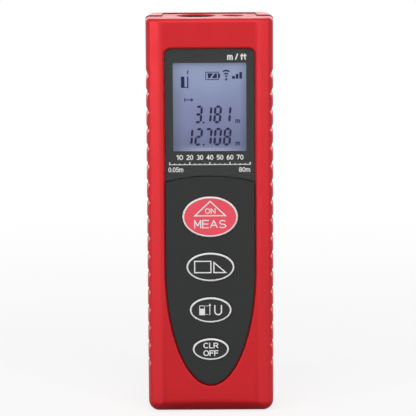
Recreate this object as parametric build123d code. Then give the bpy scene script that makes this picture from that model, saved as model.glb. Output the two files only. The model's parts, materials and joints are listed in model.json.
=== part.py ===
"""Laser distance meter: a pocket instrument with two AAA cells, four keys and a graphic display.

The meter stands upright on its bottom end.  X runs across it, to the right seen from the front,
Y runs from the front face (low) to the back face (high), and Z runs up to the end that the
laser beam leaves from.  The origin is the centre of the bottom end.  All sizes are millimetres.
"""

import math
import os

from build123d import *

# Case
body_length = 118.0
body_width = 37.8
body_depth = 24.0
crown_proud = 0.2
parting_y = -1.0
shoulder_width = 4.6
shoulder_drop = 1.95
front_lean = 0.3
back_lean = 0.9
back_bevel_width = 2.4
back_bevel_drop = 1.6
front_soft_round = 6.0
shoulder_round = 2.6
back_round = 2.0
bottom_round = 3.3
lower_front_round = 4.5
lower_front_lead = 0.02
top_round = 1.2
wall = 1.8
seam_gap = 0.2

# Locating rim of the back shell, inside the front shell
rim_clearance = 0.1
rim_thickness = 0.8
rim_reach = 1.6
rim_root = 1.8
rim_overlap = 0.3
rim_stop_below_top = 10.0

# Finger grips along both sides
grip_count = 17
grip_pitch = 5.38
grip_first_z = 14.85
grip_depth = 0.58
grip_half_width = 1.5
grip_extra_depth_at_shoulder = 0.27

# Tongue of the front shell that closes the top end, a little below the rim of the back shell
tongue_half_width_front = 14.1
tongue_half_width_back = 13.6
end_rim_width = 3.0
end_step = 0.3
end_seal_sink = 0.03

# Dark panel: display lens above, keypad below
panel_half_width = 13.25
panel_top_margin = 9.05
panel_bottom_margin = 8.5
panel_corner = 1.9
panel_tip_height = 34.8
panel_sink = 0.5
panel_thickness = 1.2
panel_gap = 0.35
panel_edge_bevel = 0.2
recess_rim_round = 0.25
seat_thickness = 1.4
seat_margin = 1.4
film_thickness = 0.1
seam_below_window = 7.35
seam_radius = 49.7
panel_seam_gap = 0.12

# Display
window_width = 21.5
window_height = 26.0
window_centre_below_top = 26.35
opening_margin = 0.6
opening_corner = 1.0
gasket_thickness = 0.5
lcd_side_margin = 1.3
lcd_ledge = 3.6
lcd_thickness = 1.4
backlight_thickness = 1.2
backlight_start_above_ledge = 2.9
lcd_clearance = 0.1
lcd_frame_wall = 1.0
lcd_frame_back = 0.6
lcd_ear_reach = 1.75
lcd_ear_height = 5.0
lcd_ear_thickness = 1.2
lcd_ear_inset = 5.0
stake_radius = 0.6
stake_length = 1.8
connector_width = 20.0
connector_height = 1.8
connector_lift = 0.45

# Keys, from the top: outline width, outline height and gap above.  The gaps keep their proportions
# when the height between the seam and the panel's lower tip changes.
key_sizes = {
    "measure": (16.4, 12.1, 5.95),
    "area": (14.2, 8.6, 4.7),
    "reference": (12.4, 7.65, 4.825),
    "clear": (10.8, 6.6, 4.775),
}
key_tip_gap = 7.6
key_clearance = 0.15
key_edge_round = 0.35
key_flange_width = 0.8
key_flange_thickness = 0.7
key_rest_gap = 0.1
key_travel = 0.8
dome_base_radius = 3.0
dome_top_radius = 1.9
dome_skin = 0.45
pill_radius = 1.0
pill_gap = 0.9
mat_thickness = 0.8
mat_half_width = 10.4
mat_margin = 2.6
pad_radius = 1.7
pad_thickness = 0.06

# Main board
board_thickness = 1.6
board_half_width = 14.4
board_bottom_z = 6.6
board_overlap_on_lcd = 5.5
board_corner = 1.5
board_post_radius = 1.9
board_screw_x = 12.2
board_screw_drop_below_lcd = 4.4
board_low_screw_z = 10.0
boss_clearance = 0.3

# Components on the back of the board: place across, distance from the board's lower or upper edge,
# width, height and how far each stands off the board
lower_chips = (
    (-8.5, 39.9, 4.0, 5.0, 1.0),
    (-2.5, 35.4, 3.0, 8.0, 1.0),
    (5.5, 25.9, 5.0, 5.0, 1.0),
)
upper_chips = (
    (-6.0, 11.45, 7.0, 7.0, 1.0),
    (-10.8, 4.35, 4.4, 3.8, 2.2),
)
chip_row_count = 8
chip_row_pitch = 3.0
chip_row_heights = (15.8, 46.2)
small_chip_width = 1.6
small_chip_height = 0.8
small_chip_thickness = 0.6

# Small screws, for the board and the optics
small_shank_radius = 0.8
small_head_radius = 1.6
small_head_height = 1.1
small_screw_length = 3.6
screw_clearance = 0.05

# Case screws
case_screw_x = 13.6
case_screw_share_above_bay = 0.311
case_screw_below_top = 5.8
front_boss_radius = 2.3
back_boss_radius = 2.9
case_shank_radius = 1.0
case_head_radius = 1.8
case_head_height = 1.6
case_head_clearance = 0.2
case_head_seat_depth = 3.0
case_screw_length = 15.0
case_pilot_spare = 1.5
cross_width = 0.5
cross_reach = 0.72
cross_depth = 0.7
head_round = 0.3

# Battery bay and its two AAA cells
cell_radius = 5.25
cell_length = 44.5
cell_nub_radius = 1.9
cell_nub_height = 0.8
cell_edge_round = 0.5
cell_spacing = 11.0
cell_clearance = 0.15
bay_side_play = 0.45
bay_side_wall = 1.7
bay_floor = 1.2
bay_end_wall = 1.8
bay_bottom_z = 6.2
cell_back_play = 0.55
bay_end_wall_clearance = 2.0
contact_thickness = 0.3
contact_bump = 0.5
contact_bump_radius = 2.0
contact_margin = 1.2
contact_play = 0.05
tab_half_width = 1.0
spring_height = 4.7
spring_wire_radius = 0.3
spring_base_radius = 3.4
spring_tip_radius = 2.2
spring_turns = 4.0

# Battery door, hinged on tongues at its bottom end
door_thickness = 1.7
door_gap = 0.15
door_ledge = 0.3
door_bottom_z = 5.0
door_top_cover = 1.3
door_corner = 1.0
tongue_x = 7.0
tongue_width = 4.0
tongue_thickness = 1.0
tongue_length = 1.7
tongue_root = 1.2
tongue_clearance = 0.1
thumb_tab_half_width = 4.5
thumb_tab_length = 8.0
thumb_slot = 0.5
thumb_groove_count = 4
thumb_groove_pitch = 1.2
thumb_groove_radius = 0.3
nail_half_width = 4.5
nail_depth = 1.2

# Optics
receiver_x = -3.9
emitter_x = 7.05
optics_before_spine = 6.0
receiver_hole_radius = 5.7
emitter_hole_radius = 3.1
hole_edge_bevel = 0.35
window_overlap = 0.6
glass_thickness = 1.0
ring_gasket_thickness = 1.0
ring_gasket_width = 0.9
barrel_radius = 6.4
barrel_length = 6.6
lens_bore_radius = 5.6
lens_fit = 0.08
lens_thickness = 2.6
lens_edge = 1.0
lens_ledge_above_barrel = 1.8
ring_width = 0.65
cone_top_radius = 5.35
cone_bottom_radius = 2.6
cone_skin = 0.85
cone_length = 21.6
flange_thickness = 2.0
flange_half = 5.0
photodiode_radius = 2.3
photodiode_height = 1.8
photodiode_clearance = 0.2
tube_radius = 3.3
tube_bore_radius = 2.7
tube_skirt = 1.0
laser_barrel_length = 13.0
laser_barrel_below_top = 4.2
laser_barrel_wall = 0.6
laser_can_radius = 1.9
laser_can_height = 2.2
laser_flange_height = 1.2
laser_pin_radius = 0.22
laser_pin_length = 2.0
laser_pin_circle = 1.27
collimator_thickness = 1.6
spine_boss_length = 2.0
spine_thickness = 1.2
spine_half_width = 13.8
spine_top_below_end = 9.2
spine_screw_x = 12.2
spine_screw_inset = 2.6
rib_half_width = 0.8
sensor_board_thickness = 1.0
shield_size = 8.0
shield_height = 2.4
shield_skin = 0.3
shield_shift = 1.0
sensor_pin_radius = 0.6
sensor_pin_inset = 1.1
ribbon_thickness = 0.15
sensor_ribbon_width = 6.0
laser_ribbon_width = 5.0
ribbon_board_overlap = 4.0

# Buzzer, rating plate and strap eye
buzzer_x = 3.6
buzzer_share_above_bay = 0.344
buzzer_radius = 5.0
buzzer_height = 3.4
buzzer_port_radius = 1.0
buzzer_port_depth = 0.6
buzzer_edge_round = 0.4
plate_width = 24.0
plate_height = 33.0
plate_gap_above_screw = 4.0
plate_thickness = 0.25
plate_sink = 0.3
plate_clearance = 0.1
strap_z = 11.0
strap_slot_height = 6.0
strap_slot_width = 2.6
strap_bar = 2.2
strap_wall = 1.3

# Places that follow from the sizes above
half_width = body_width / 2
front_y = -body_depth / 2 + crown_proud
back_y = body_depth / 2
inner_front_y = front_y + wall
inner_back_y = back_y - wall
inner_top_z = body_length - wall
front_top_z = body_length - end_step
end_tongue_back_y = back_y - end_rim_width
panel_y = front_y + panel_sink
seat_y = panel_y + panel_thickness
seat_back_y = seat_y + seat_thickness
panel_top_z = body_length - panel_top_margin
window_z = body_length - window_centre_below_top
window_top_z = window_z + window_height / 2
window_bottom_z = window_z - window_height / 2
seam_apex_z = window_bottom_z - seam_below_window
key_heights = sum(height for _, height, _ in key_sizes.values())
key_gaps = sum(gap for _, _, gap in key_sizes.values()) + key_tip_gap
key_gap_scale = (seam_apex_z - panel_bottom_margin - key_heights) / key_gaps
lcd_front_y = seat_back_y + gasket_thickness
lcd_back_y = lcd_front_y + lcd_thickness
backlight_back_y = lcd_back_y + backlight_thickness
lcd_top_z = window_top_z + lcd_side_margin
lcd_bottom_z = window_bottom_z - lcd_ledge
lcd_half_width = window_width / 2 + lcd_side_margin
frame_half_width = lcd_half_width + lcd_clearance + lcd_frame_wall
frame_top_z = lcd_top_z + lcd_clearance + lcd_frame_wall
frame_bottom_z = lcd_bottom_z - lcd_clearance - lcd_frame_wall
frame_back_y = backlight_back_y + lcd_frame_back
ear_x = frame_half_width + lcd_ear_reach / 2
ear_heights = (frame_bottom_z + lcd_ear_inset, frame_top_z - lcd_ear_inset)
board_front_y = frame_back_y
board_back_y = board_front_y + board_thickness
board_top_z = frame_bottom_z + board_overlap_on_lcd
board_screws = (
    (-board_screw_x, frame_bottom_z - board_screw_drop_below_lcd),
    (board_screw_x, frame_bottom_z - board_screw_drop_below_lcd),
    (0.0, board_low_screw_z),
)
key_flange_front_y = seat_back_y + key_rest_gap
key_back_y = key_flange_front_y + key_flange_thickness
mat_front_y = board_front_y - mat_thickness
bay_half_width = cell_spacing / 2 + cell_radius + bay_side_play
bay_length = cell_length + 2 * contact_thickness + contact_bump + spring_height + 2 * contact_play
bay_top_z = bay_bottom_z + bay_length
case_screw_low_z = bay_top_z + case_screw_share_above_bay * (frame_bottom_z - bay_top_z)
case_screw_high_z = body_length - case_screw_below_top
case_screws_xz = [
    (side * case_screw_x, z) for z in (case_screw_low_z, case_screw_high_z) for side in (-1, 1)
]
case_head_y = back_y - case_head_seat_depth
door_front_y = back_y - door_thickness
bay_floor_y = door_front_y - cell_back_play - 2 * cell_radius - cell_clearance
bay_end_wall_back_y = door_front_y - bay_end_wall_clearance
cell_y = bay_floor_y + cell_clearance + cell_radius
door_half_width = bay_half_width + bay_side_wall - door_ledge - door_gap
door_top_z = bay_top_z + door_top_cover
spine_y = inner_back_y - spine_boss_length - spine_thickness
optics_y = spine_y - optics_before_spine
glass_bottom_z = inner_top_z - glass_thickness
barrel_top_z = glass_bottom_z - ring_gasket_thickness
barrel_bottom_z = barrel_top_z - barrel_length
cone_bottom_z = barrel_bottom_z - cone_length
flange_bottom_z = cone_bottom_z - flange_thickness
sensor_board_z = flange_bottom_z - sensor_board_thickness
bay_wall_top_z = bay_top_z + bay_end_wall
buzzer_free_height = sensor_board_z - shield_height - bay_wall_top_z - 2 * buzzer_radius
buzzer_z = bay_wall_top_z + buzzer_share_above_bay * buzzer_free_height + buzzer_radius
lens_seat_z = barrel_bottom_z + lens_ledge_above_barrel
laser_barrel_top_z = barrel_top_z - laser_barrel_below_top
laser_barrel_bottom_z = laser_barrel_top_z - laser_barrel_length
diode_bottom_z = laser_barrel_bottom_z - laser_flange_height
tube_bottom_z = diode_bottom_z - tube_skirt
spine_top_z = body_length - spine_top_below_end
spine_screws = [
    (side * spine_screw_x, z)
    for z in (flange_bottom_z + spine_screw_inset, spine_top_z - spine_screw_inset)
    for side in (-1, 1)
]
spine_back_y = spine_y + spine_thickness
plate_bottom_z = case_screw_low_z + plate_gap_above_screw


def block(x0, x1, y0, y1, z0, z1):
    """Rectangular block between two corners."""
    centre = ((x0 + x1) / 2, (y0 + y1) / 2, (z0 + z1) / 2)
    return Pos(*centre) * Box(x1 - x0, y1 - y0, z1 - z0)


def post(x, z, radius, y0, y1):
    """Round post that runs from front to back."""
    return Pos(x, (y0 + y1) / 2, z) * Rot(90, 0, 0) * Cylinder(radius, y1 - y0)


def upright(x, y, radius, z0, z1):
    """Round post that runs along the length."""
    return Pos(x, y, (z0 + z1) / 2) * Cylinder(radius, z1 - z0)


def slab(face, y0, y1):
    """Solid between two depths whose outline is drawn across X and Z."""
    return extrude(Plane.XZ.offset(-y1) * face, y1 - y0)


# Case outline


def case_profile():
    """Cross-section of the case, seen from above."""
    right = [
        (half_width - front_lean - shoulder_width, front_y),
        (half_width - front_lean, front_y + shoulder_drop),
        (half_width, parting_y),
        (half_width - back_lean, back_y - back_bevel_drop),
        (half_width - back_lean - back_bevel_width, back_y),
    ]
    left = [(-x, y) for x, y in reversed(right)]
    return make_face(Polyline(*right, *left, close=True))


def lengthwise_edges(solid, x, y):
    """Edges that run the length of the case at a given corner of its profile."""
    return [
        edge
        for edge in solid.edges().filter_by(Axis.Z)
        if math.hypot(abs(edge.center().X) - x, edge.center().Y - y) < 0.01
    ]


def lower_front_limit(inset):
    """Space behind the large round at the foot of the front face, drawn in by an inset.

    The round starts a hair in front of the face, so that it meets the face at a slight angle.
    """
    radius = lower_front_round - inset
    start_y = front_y + inset - lower_front_lead
    arc_step = radius * (1 - math.sin(math.pi / 4))
    foot_y = start_y + radius
    side_z = inset + radius
    arc = ThreePointArc((foot_y, inset), (start_y + arc_step, inset + arc_step), (start_y, side_z))
    rest = Polyline(
        (start_y, side_z),
        (start_y, body_length + 1),
        (back_y + 1, body_length + 1),
        (back_y + 1, inset),
        (foot_y, inset),
    )
    outline = make_face(Curve() + [arc, rest])
    return extrude(Plane.YZ.offset(-body_width) * outline, 2 * body_width)


def case_body(height):
    """Outside of the closed case up to a height, rounded along its length and at both ends."""
    body = extrude(case_profile(), height)
    corners = (
        (half_width - front_lean - shoulder_width, front_y, front_soft_round),
        (half_width - back_lean - back_bevel_width, back_y, back_round),
        (half_width - front_lean, front_y + shoulder_drop, shoulder_round),
        (half_width - back_lean, back_y - back_bevel_drop, shoulder_round),
    )
    for x, y, radius in corners:
        body = fillet(lengthwise_edges(body, x, y), radius)
    body = fillet(body.faces().sort_by(Axis.Z)[-1].edges(), top_round)
    body = fillet(body.faces().sort_by(Axis.Z)[0].edges(), bottom_round)
    return body & lower_front_limit(0)


def inner_block(inset):
    """The case's profile drawn in by an inset on every side and at both ends."""
    face = offset(case_profile(), amount=-inset, kind=Kind.INTERSECTION)
    return Pos(0, 0, inset) * extrude(face, body_length - 2 * inset)


def depth_slice(y0, y1, z0=-1.0, z1=body_length + 1.0):
    """Block as wide as the case between two depths."""
    return block(-body_width, body_width, y0, y1, z0, z1)


def grip_groove():
    """Cross-section of one finger notch, its lips rounded into the side of the case."""
    lip_radius = (grip_half_width**2 + grip_depth**2) / (2 * grip_depth)
    turn = math.asin(grip_half_width / lip_radius)
    half_turn = turn / 2
    mid_x = grip_half_width - lip_radius * math.sin(half_turn)
    mid_y = lip_radius - lip_radius * math.cos(half_turn)
    cusp = (0.0, -grip_depth)
    right = ThreePointArc(cusp, (mid_x, -mid_y), (grip_half_width, 0.0))
    left = ThreePointArc((-grip_half_width, 0.0), (-mid_x, -mid_y), cusp)
    top = Polyline(
        (grip_half_width, 0.0),
        (grip_half_width, 1.0),
        (-grip_half_width, 1.0),
        (-grip_half_width, 0.0),
    )
    return make_face(Curve() + [right, top, left])


def grip_cutters(outer_x, y0, edge_x, y1):
    """Notch cutters for both sides, each along a line from the parting to one edge of the side."""
    run = math.hypot(edge_x - outer_x, y1 - y0)
    along = Vector((edge_x - outer_x) / run, (y1 - y0) / run, 0)
    outward = Vector(abs(along.Y), -along.X * math.copysign(1, along.Y), 0)
    overshoot = 3.0
    start = Vector(outer_x, y0, 0) - along * overshoot
    cutters = []
    for index in range(grip_count):
        height = grip_first_z + index * grip_pitch
        plane = Plane(
            origin=(start.X, start.Y, height),
            x_dir=outward.cross(along),
            z_dir=along,
        )
        if plane.y_dir.X < 0:
            plane = Plane(origin=plane.origin, x_dir=-plane.x_dir, z_dir=along)
        cutter = extrude(plane * grip_groove(), run + 2 * overshoot)
        cutters += [cutter, mirror(cutter, about=Plane.YZ)]
    return cutters


def with_grips(shell, y_limit_front, y_limit_back, edge_x, edge_y):
    """A shell with the finger notches cut into its sides."""
    limit = depth_slice(y_limit_front, y_limit_back)
    cutters = grip_cutters(half_width, parting_y, edge_x, edge_y)
    return shell - [cutter & limit for cutter in cutters]


def tongue_face(clearance):
    """Outline, seen from above, of the part of the top end that belongs to the front shell."""
    front = tongue_half_width_front + clearance
    back = tongue_half_width_back + clearance
    return make_face(
        Polyline(
            (-front, parting_y - wall),
            (front, parting_y - wall),
            (front, parting_y),
            (back, end_tongue_back_y + clearance),
            (-back, end_tongue_back_y + clearance),
            (-front, parting_y),
            close=True,
        )
    )


def top_tongue(clearance):
    """Block that bounds the tongue, grown by a clearance on its sides and underside."""
    bottom = inner_top_z - clearance
    return Pos(0, 0, bottom) * extrude(tongue_face(clearance), wall + clearance + 1)


# Panel outline


def panel_face(grow):
    """Outline of the dark panel, grown by a margin: a rectangle that ends in a long half ellipse."""
    half = panel_half_width + grow
    top = panel_top_z + grow
    joint_z = panel_bottom_margin + panel_tip_height
    upper = Pos(0, (joint_z + top) / 2) * Rectangle(2 * half, top - joint_z)
    upper = fillet(upper.vertices().sort_by(Axis.Y)[-2:], panel_corner + grow)
    return upper + Pos(0, joint_z) * Ellipse(half, panel_tip_height + grow)


def seam_disc(grow):
    """Disc whose rim is the arched seam between the keypad panel and the display lens."""
    return Pos(0, seam_apex_z - seam_radius) * Circle(seam_radius + grow)


def key_face(name, grow):
    """Oval outline of a key, grown by a margin."""
    width, height, _ = key_sizes[name]
    return Pos(0, key_z(name)) * Ellipse(width / 2 + grow, height / 2 + grow)


def key_z(name):
    """Height of a key's centre, counted down from the seam."""
    names = list(key_sizes)
    down_to_key = names[: names.index(name) + 1]
    gaps = key_gap_scale * sum(key_sizes[other][2] for other in down_to_key)
    heights = sum(key_sizes[other][1] for other in down_to_key)
    return seam_apex_z - gaps - heights + key_sizes[name][1] / 2


def window_face(grow, corner):
    """Rounded outline of the display window, grown by a margin."""
    return Pos(0, window_z) * RectangleRounded(window_width + 2 * grow, window_height + 2 * grow, corner)


def front_edges(solid):
    """Edges of the face of a solid that looks to the front."""
    return solid.faces().sort_by(Axis.Y)[0].edges()


# Shells


def front_shell():
    """Front half of the case, with the panel recess, the key holes and the optics end."""
    outside = case_body(front_top_z)
    front_half = outside & depth_slice(-body_depth, parting_y)
    recess = slab(panel_face(panel_gap), -body_depth, seat_y)
    front_half = front_half - recess
    rim = [edge for edge in front_edges(front_half) if on_recess_rim(edge)]
    front_half = fillet(rim, recess_rim_round)
    cavity = inner_block(wall) & depth_slice(-body_depth, parting_y + 1) & lower_front_limit(wall)
    front_half = front_half - cavity
    seat = slab(panel_face(panel_gap + seat_margin), seat_y, seat_back_y) & inner_block(wall / 2)
    shell = front_half + seat
    shell = shell + (outside & top_tongue(0))
    shell = with_grips(
        shell,
        -body_depth,
        parting_y,
        half_width - front_lean - grip_extra_depth_at_shoulder,
        front_y + shoulder_drop,
    )
    shell = shell + front_bosses()
    return shell - front_openings()


def on_recess_rim(edge):
    """Whether an edge of the front face lies on the rim of the panel recess."""
    box = edge.bounding_box()
    low = panel_bottom_margin - panel_gap - 0.01
    high = panel_top_z + panel_gap + 0.01
    side = panel_half_width + panel_gap + 0.01
    return box.min.Z > low and box.max.Z < high and box.min.X > -side and box.max.X < side


def front_bosses():
    """Screw bosses, board posts and heat stakes inside the front shell."""
    root_y = inner_front_y - wall / 2
    pad_root_y = seat_back_y - seat_thickness / 2
    bosses = [post(x, z, front_boss_radius, root_y, parting_y) for x, z in case_screws_xz]
    bosses += [post(x, z, board_post_radius, pad_root_y, board_front_y) for x, z in board_screws]
    for side in (-1, 1):
        for z in ear_heights:
            bosses.append(post(side * ear_x, z, stake_radius, pad_root_y, seat_back_y + stake_length))
    return bosses


def front_openings():
    """Everything that is cut out of the front shell."""
    pilot_end_y = case_head_y - case_screw_length - case_pilot_spare
    cuts = [slab(panel_face(panel_gap), -body_depth, seat_y)]
    cuts.append(slab(window_face(opening_margin, opening_corner), front_y, seat_back_y + 1))
    cuts += [slab(key_face(name, key_clearance), front_y, seat_back_y + 1) for name in key_sizes]
    cuts += [
        post(x, z, case_shank_radius + screw_clearance, pilot_end_y, parting_y + 1) for x, z in case_screws_xz
    ]
    cuts += [
        post(x, z, small_shank_radius + screw_clearance, board_front_y - small_screw_length, board_back_y)
        for x, z in board_screws
    ]
    for x, radius in ((receiver_x, receiver_hole_radius), (emitter_x, emitter_hole_radius)):
        cuts.append(upright(x, optics_y, radius, inner_top_z - 1, body_length + 1))
        flare = Cone(radius, radius + 2 * hole_edge_bevel, 2 * hole_edge_bevel)
        cuts.append(Pos(x, optics_y, front_top_z) * flare)
    return cuts


def back_shell():
    """Back half of the case, with the battery bay, the door opening and the screw bosses."""
    outside = case_body(body_length)
    back_half = outside & depth_slice(parting_y + seam_gap, body_depth)
    cavity = inner_block(wall) & depth_slice(parting_y - 1, body_depth)
    shell = back_half - cavity
    shell = shell + locating_rim()
    shell = with_grips(
        shell,
        parting_y + seam_gap,
        body_depth,
        half_width - back_lean - grip_extra_depth_at_shoulder,
        back_y - back_bevel_drop,
    )
    shell = shell + battery_bay() + back_bosses() + strap_pocket()
    shell = shell - back_openings()
    return shell - top_tongue(seam_gap)


def end_seal():
    """Rubber lip in the seam of the top end, along the parting and around the tongue."""
    seal_top_z = body_length - end_seal_sink
    around = tongue_face(seam_gap) - tongue_face(0)
    around = Pos(0, 0, inner_top_z) * extrude(around, seal_top_z - inner_top_z)
    around = around & depth_slice(parting_y, body_depth)
    lips = [
        block(
            min(side * tongue_half_width_front, side * body_width),
            max(side * tongue_half_width_front, side * body_width),
            parting_y,
            parting_y + seam_gap,
            inner_top_z,
            seal_top_z,
        )
        for side in (-1, 1)
    ]
    return (around + lips) & case_body(body_length)


def locating_rim():
    """Inner rim of the back shell that lines it up with the front shell."""
    outer_inset = wall + rim_clearance
    inner = inner_block(outer_inset + rim_thickness)
    stop_z = body_length - rim_stop_below_top
    rim_zone = depth_slice(parting_y - rim_reach, parting_y + rim_root, 0, stop_z)
    free = (inner_block(outer_inset) - inner) & rim_zone
    rooted = inner_block(wall - rim_overlap) - inner
    root = rooted & depth_slice(parting_y + seam_gap, parting_y + rim_root, 0, stop_z)
    return free + root


def battery_bay():
    """Open tray for two cells, moulded into the back shell."""
    outer_x = bay_half_width + bay_side_wall
    low_z = bay_bottom_z - bay_end_wall
    high_z = bay_top_z + bay_end_wall
    floor_front_y = bay_floor_y - bay_floor
    floor_plate = block(-outer_x, outer_x, floor_front_y, bay_floor_y, low_z, high_z)
    left = block(-outer_x, -bay_half_width, floor_front_y, inner_back_y, low_z, high_z)
    right = mirror(left, about=Plane.YZ)
    bottom = block(-outer_x, outer_x, floor_front_y, bay_end_wall_back_y, low_z, bay_bottom_z)
    top = block(-outer_x, outer_x, floor_front_y, inner_back_y, bay_top_z, high_z)
    ledge_overlap = wall / 2
    left_tie = block(
        -outer_x,
        -bay_half_width,
        inner_back_y - 1,
        inner_back_y + ledge_overlap,
        low_z,
        high_z,
    )
    right_tie = mirror(left_tie, about=Plane.YZ)
    top_tie = block(-outer_x, outer_x, inner_back_y - 1, inner_back_y + ledge_overlap, bay_top_z, high_z)
    tray = floor_plate + left + right + bottom + top + left_tie + right_tie + top_tie
    tabs = [
        block(
            x - tab_half_width - screw_clearance,
            x + tab_half_width + screw_clearance,
            floor_front_y - 1,
            bay_floor_y + 1,
            bay_top_z - contact_thickness - screw_clearance,
            bay_top_z,
        )
        for x in (-cell_spacing / 2, cell_spacing / 2)
    ]
    return tray - tabs


def back_bosses():
    """Screw bosses inside the back shell, for the case screws and the optics carrier."""
    root_y = inner_back_y + wall / 2
    bosses = [post(x, z, back_boss_radius, parting_y, root_y) for x, z in case_screws_xz]
    bosses += [post(x, z, board_post_radius, spine_back_y, root_y) for x, z in spine_screws]
    return bosses


def strap_x():
    """Inner side of the strap tunnel, beside the battery bay."""
    return bay_half_width + bay_side_wall + strap_wall


def strap_pocket():
    """Solid corner of the back shell that the strap tunnel is cut through."""
    low_z = strap_z - strap_slot_height / 2 - strap_wall
    high_z = strap_z + strap_slot_height / 2 + strap_wall
    depth = back_y - back_bevel_drop - strap_bar - strap_slot_width - strap_wall
    corner = block(-body_width, -bay_half_width - bay_side_wall / 2, depth, back_y, low_z, high_z)
    return corner & inner_block(wall / 2)


def strap_tunnel():
    """Tunnel for a wrist strap, in through the side and out through the back."""
    low_z = strap_z - strap_slot_height / 2
    high_z = strap_z + strap_slot_height / 2
    inner_y = back_y - back_bevel_drop - strap_bar - strap_slot_width
    side_slot = block(-body_width, -strap_x(), inner_y, inner_y + strap_slot_width, low_z, high_z)
    back_slot = block(-strap_x() - strap_slot_width, -strap_x(), inner_y, back_y + 1, low_z, high_z)
    return [side_slot, back_slot]


def back_openings():
    """Everything that is cut out of the back shell."""
    half = door_half_width + door_gap
    low_z = door_bottom_z - door_gap
    high_z = door_top_z + door_gap
    door_hole = block(-half, half, inner_back_y, back_y + 1, low_z, high_z)
    cuts = [door_hole]
    cuts.append(post(0, high_z, nail_half_width, back_y - nail_depth, back_y + 1))
    for x, z in case_screws_xz:
        cuts.append(post(x, z, case_head_radius + case_head_clearance, case_head_y, back_y + 1))
        cuts.append(post(x, z, case_shank_radius + 2 * screw_clearance, parting_y - 1, back_y))
    for x, z in spine_screws:
        end_y = spine_y + small_screw_length + screw_clearance
        cuts.append(post(x, z, small_shank_radius + screw_clearance, spine_y, end_y))
    cuts.append(rating_recess())
    return cuts + strap_tunnel()


def rating_recess():
    """Shallow recess in the back for the rating plate."""
    half = plate_width / 2 + plate_clearance
    low_z = plate_bottom_z - plate_clearance
    high_z = plate_bottom_z + plate_height + plate_clearance
    return block(-half, half, back_y - plate_sink, back_y + 1, low_z, high_z)


def rating_plate():
    """Blank plate on the back."""
    front = back_y - plate_sink
    half = plate_width / 2
    return block(-half, half, front, front + plate_thickness, plate_bottom_z, plate_bottom_z + plate_height)


def battery_door():
    """Door over the cells: a plate with two tongues at its foot and a sprung thumb tab on top."""
    plate = block(-door_half_width, door_half_width, door_front_y, back_y, door_bottom_z, door_top_z)
    plate = fillet(plate.edges().filter_by(Axis.Y), door_corner)
    tongue_back_y = inner_back_y - tongue_clearance
    tongue_front_y = tongue_back_y - tongue_thickness
    for side in (-1, 1):
        low_x = side * tongue_x - tongue_width / 2
        high_x = side * tongue_x + tongue_width / 2
        hook_z = door_bottom_z - tongue_length
        foot_z = door_bottom_z + tongue_root
        plate = plate + block(low_x, high_x, tongue_front_y, tongue_back_y, hook_z, foot_z)
        plate = plate + block(low_x, high_x, tongue_front_y, door_front_y + 0.5, door_bottom_z, foot_z)
    tab_low_z = door_top_z - thumb_tab_length
    for side in (-1, 1):
        edge = side * thumb_tab_half_width
        slot = block(
            edge - thumb_slot / 2,
            edge + thumb_slot / 2,
            door_front_y - 1,
            back_y + 1,
            tab_low_z,
            door_top_z + 1,
        )
        plate = plate - slot
    for index in range(thumb_groove_count):
        z = tab_low_z + thumb_groove_pitch * (index + 1)
        groove_length = 2 * thumb_tab_half_width - 2
        groove = Pos(0, back_y, z) * Rot(0, 90, 0) * Cylinder(thumb_groove_radius, groove_length)
        plate = plate - groove
    return plate


# Panel, keys and display


def display_lens():
    """Clear lens over the display, down to the arched seam."""
    lens = slab(panel_face(0) - seam_disc(panel_seam_gap / 2), panel_y, seat_y - film_thickness)
    return chamfer(front_edges(lens), panel_edge_bevel)


def display_mask():
    """Printed film behind the lens, with a clear window."""
    outline = panel_face(0) - seam_disc(panel_seam_gap / 2)
    return slab(outline - window_face(0, opening_margin / 2), seat_y - film_thickness, seat_y)


def keypad_panel():
    """Dark panel around the keys."""
    panel = slab(panel_face(0) & seam_disc(-panel_seam_gap / 2), panel_y, seat_y)
    panel = chamfer(front_edges(panel), panel_edge_bevel)
    return panel - [slab(key_face(name, key_clearance), front_y, seat_y + 1) for name in key_sizes]


def key_cap(name):
    """Oval key with a retaining flange behind the front wall."""
    stem = slab(key_face(name, 0), -body_depth / 2, key_flange_front_y + key_flange_thickness / 2)
    stem = fillet(front_edges(stem), key_edge_round)
    return stem + slab(key_face(name, key_flange_width), key_flange_front_y, key_back_y)


def return_dome(name):
    """Silicone dome that returns a key and carries its contact pill."""
    height = mat_front_y - key_back_y
    placing = Pos(0, mat_front_y, key_z(name)) * Rot(90, 0, 0)
    outer = Cone(dome_base_radius, dome_top_radius, height)
    inner = Cone(dome_base_radius - dome_skin, dome_top_radius - dome_skin, height - 2 * dome_skin)
    shell = Pos(0, 0, height / 2) * outer - Pos(0, 0, height / 2 - dome_skin) * inner
    shell = shell - Pos(0, 0, dome_skin / 2) * Cylinder(dome_base_radius - dome_skin, dome_skin)
    pill_length = height + mat_thickness - pill_gap - dome_skin
    pill = Pos(0, 0, height - dome_skin / 2 - pill_length / 2) * Cylinder(pill_radius, pill_length)
    return placing * (shell + pill)


def keypad_mat():
    """Silicone sheet on the board under the keys."""
    names = list(key_sizes)
    low_z = key_z(names[-1]) - key_sizes[names[-1]][1] / 2
    high_z = key_z(names[0]) + key_sizes[names[0]][1] / 2
    sheet = block(-mat_half_width, mat_half_width, mat_front_y, board_front_y, low_z, high_z)
    sheet = fillet(sheet.edges().filter_by(Axis.Y), mat_margin)
    holes = [
        post(0, key_z(name), dome_base_radius - dome_skin, mat_front_y - 1, board_front_y + 1)
        for name in key_sizes
    ]
    return sheet - holes


def board_pads():
    """Gold key contacts on the front of the board."""
    return [
        post(0, key_z(name), pad_radius, board_front_y - pad_thickness, board_front_y) for name in key_sizes
    ]


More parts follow.
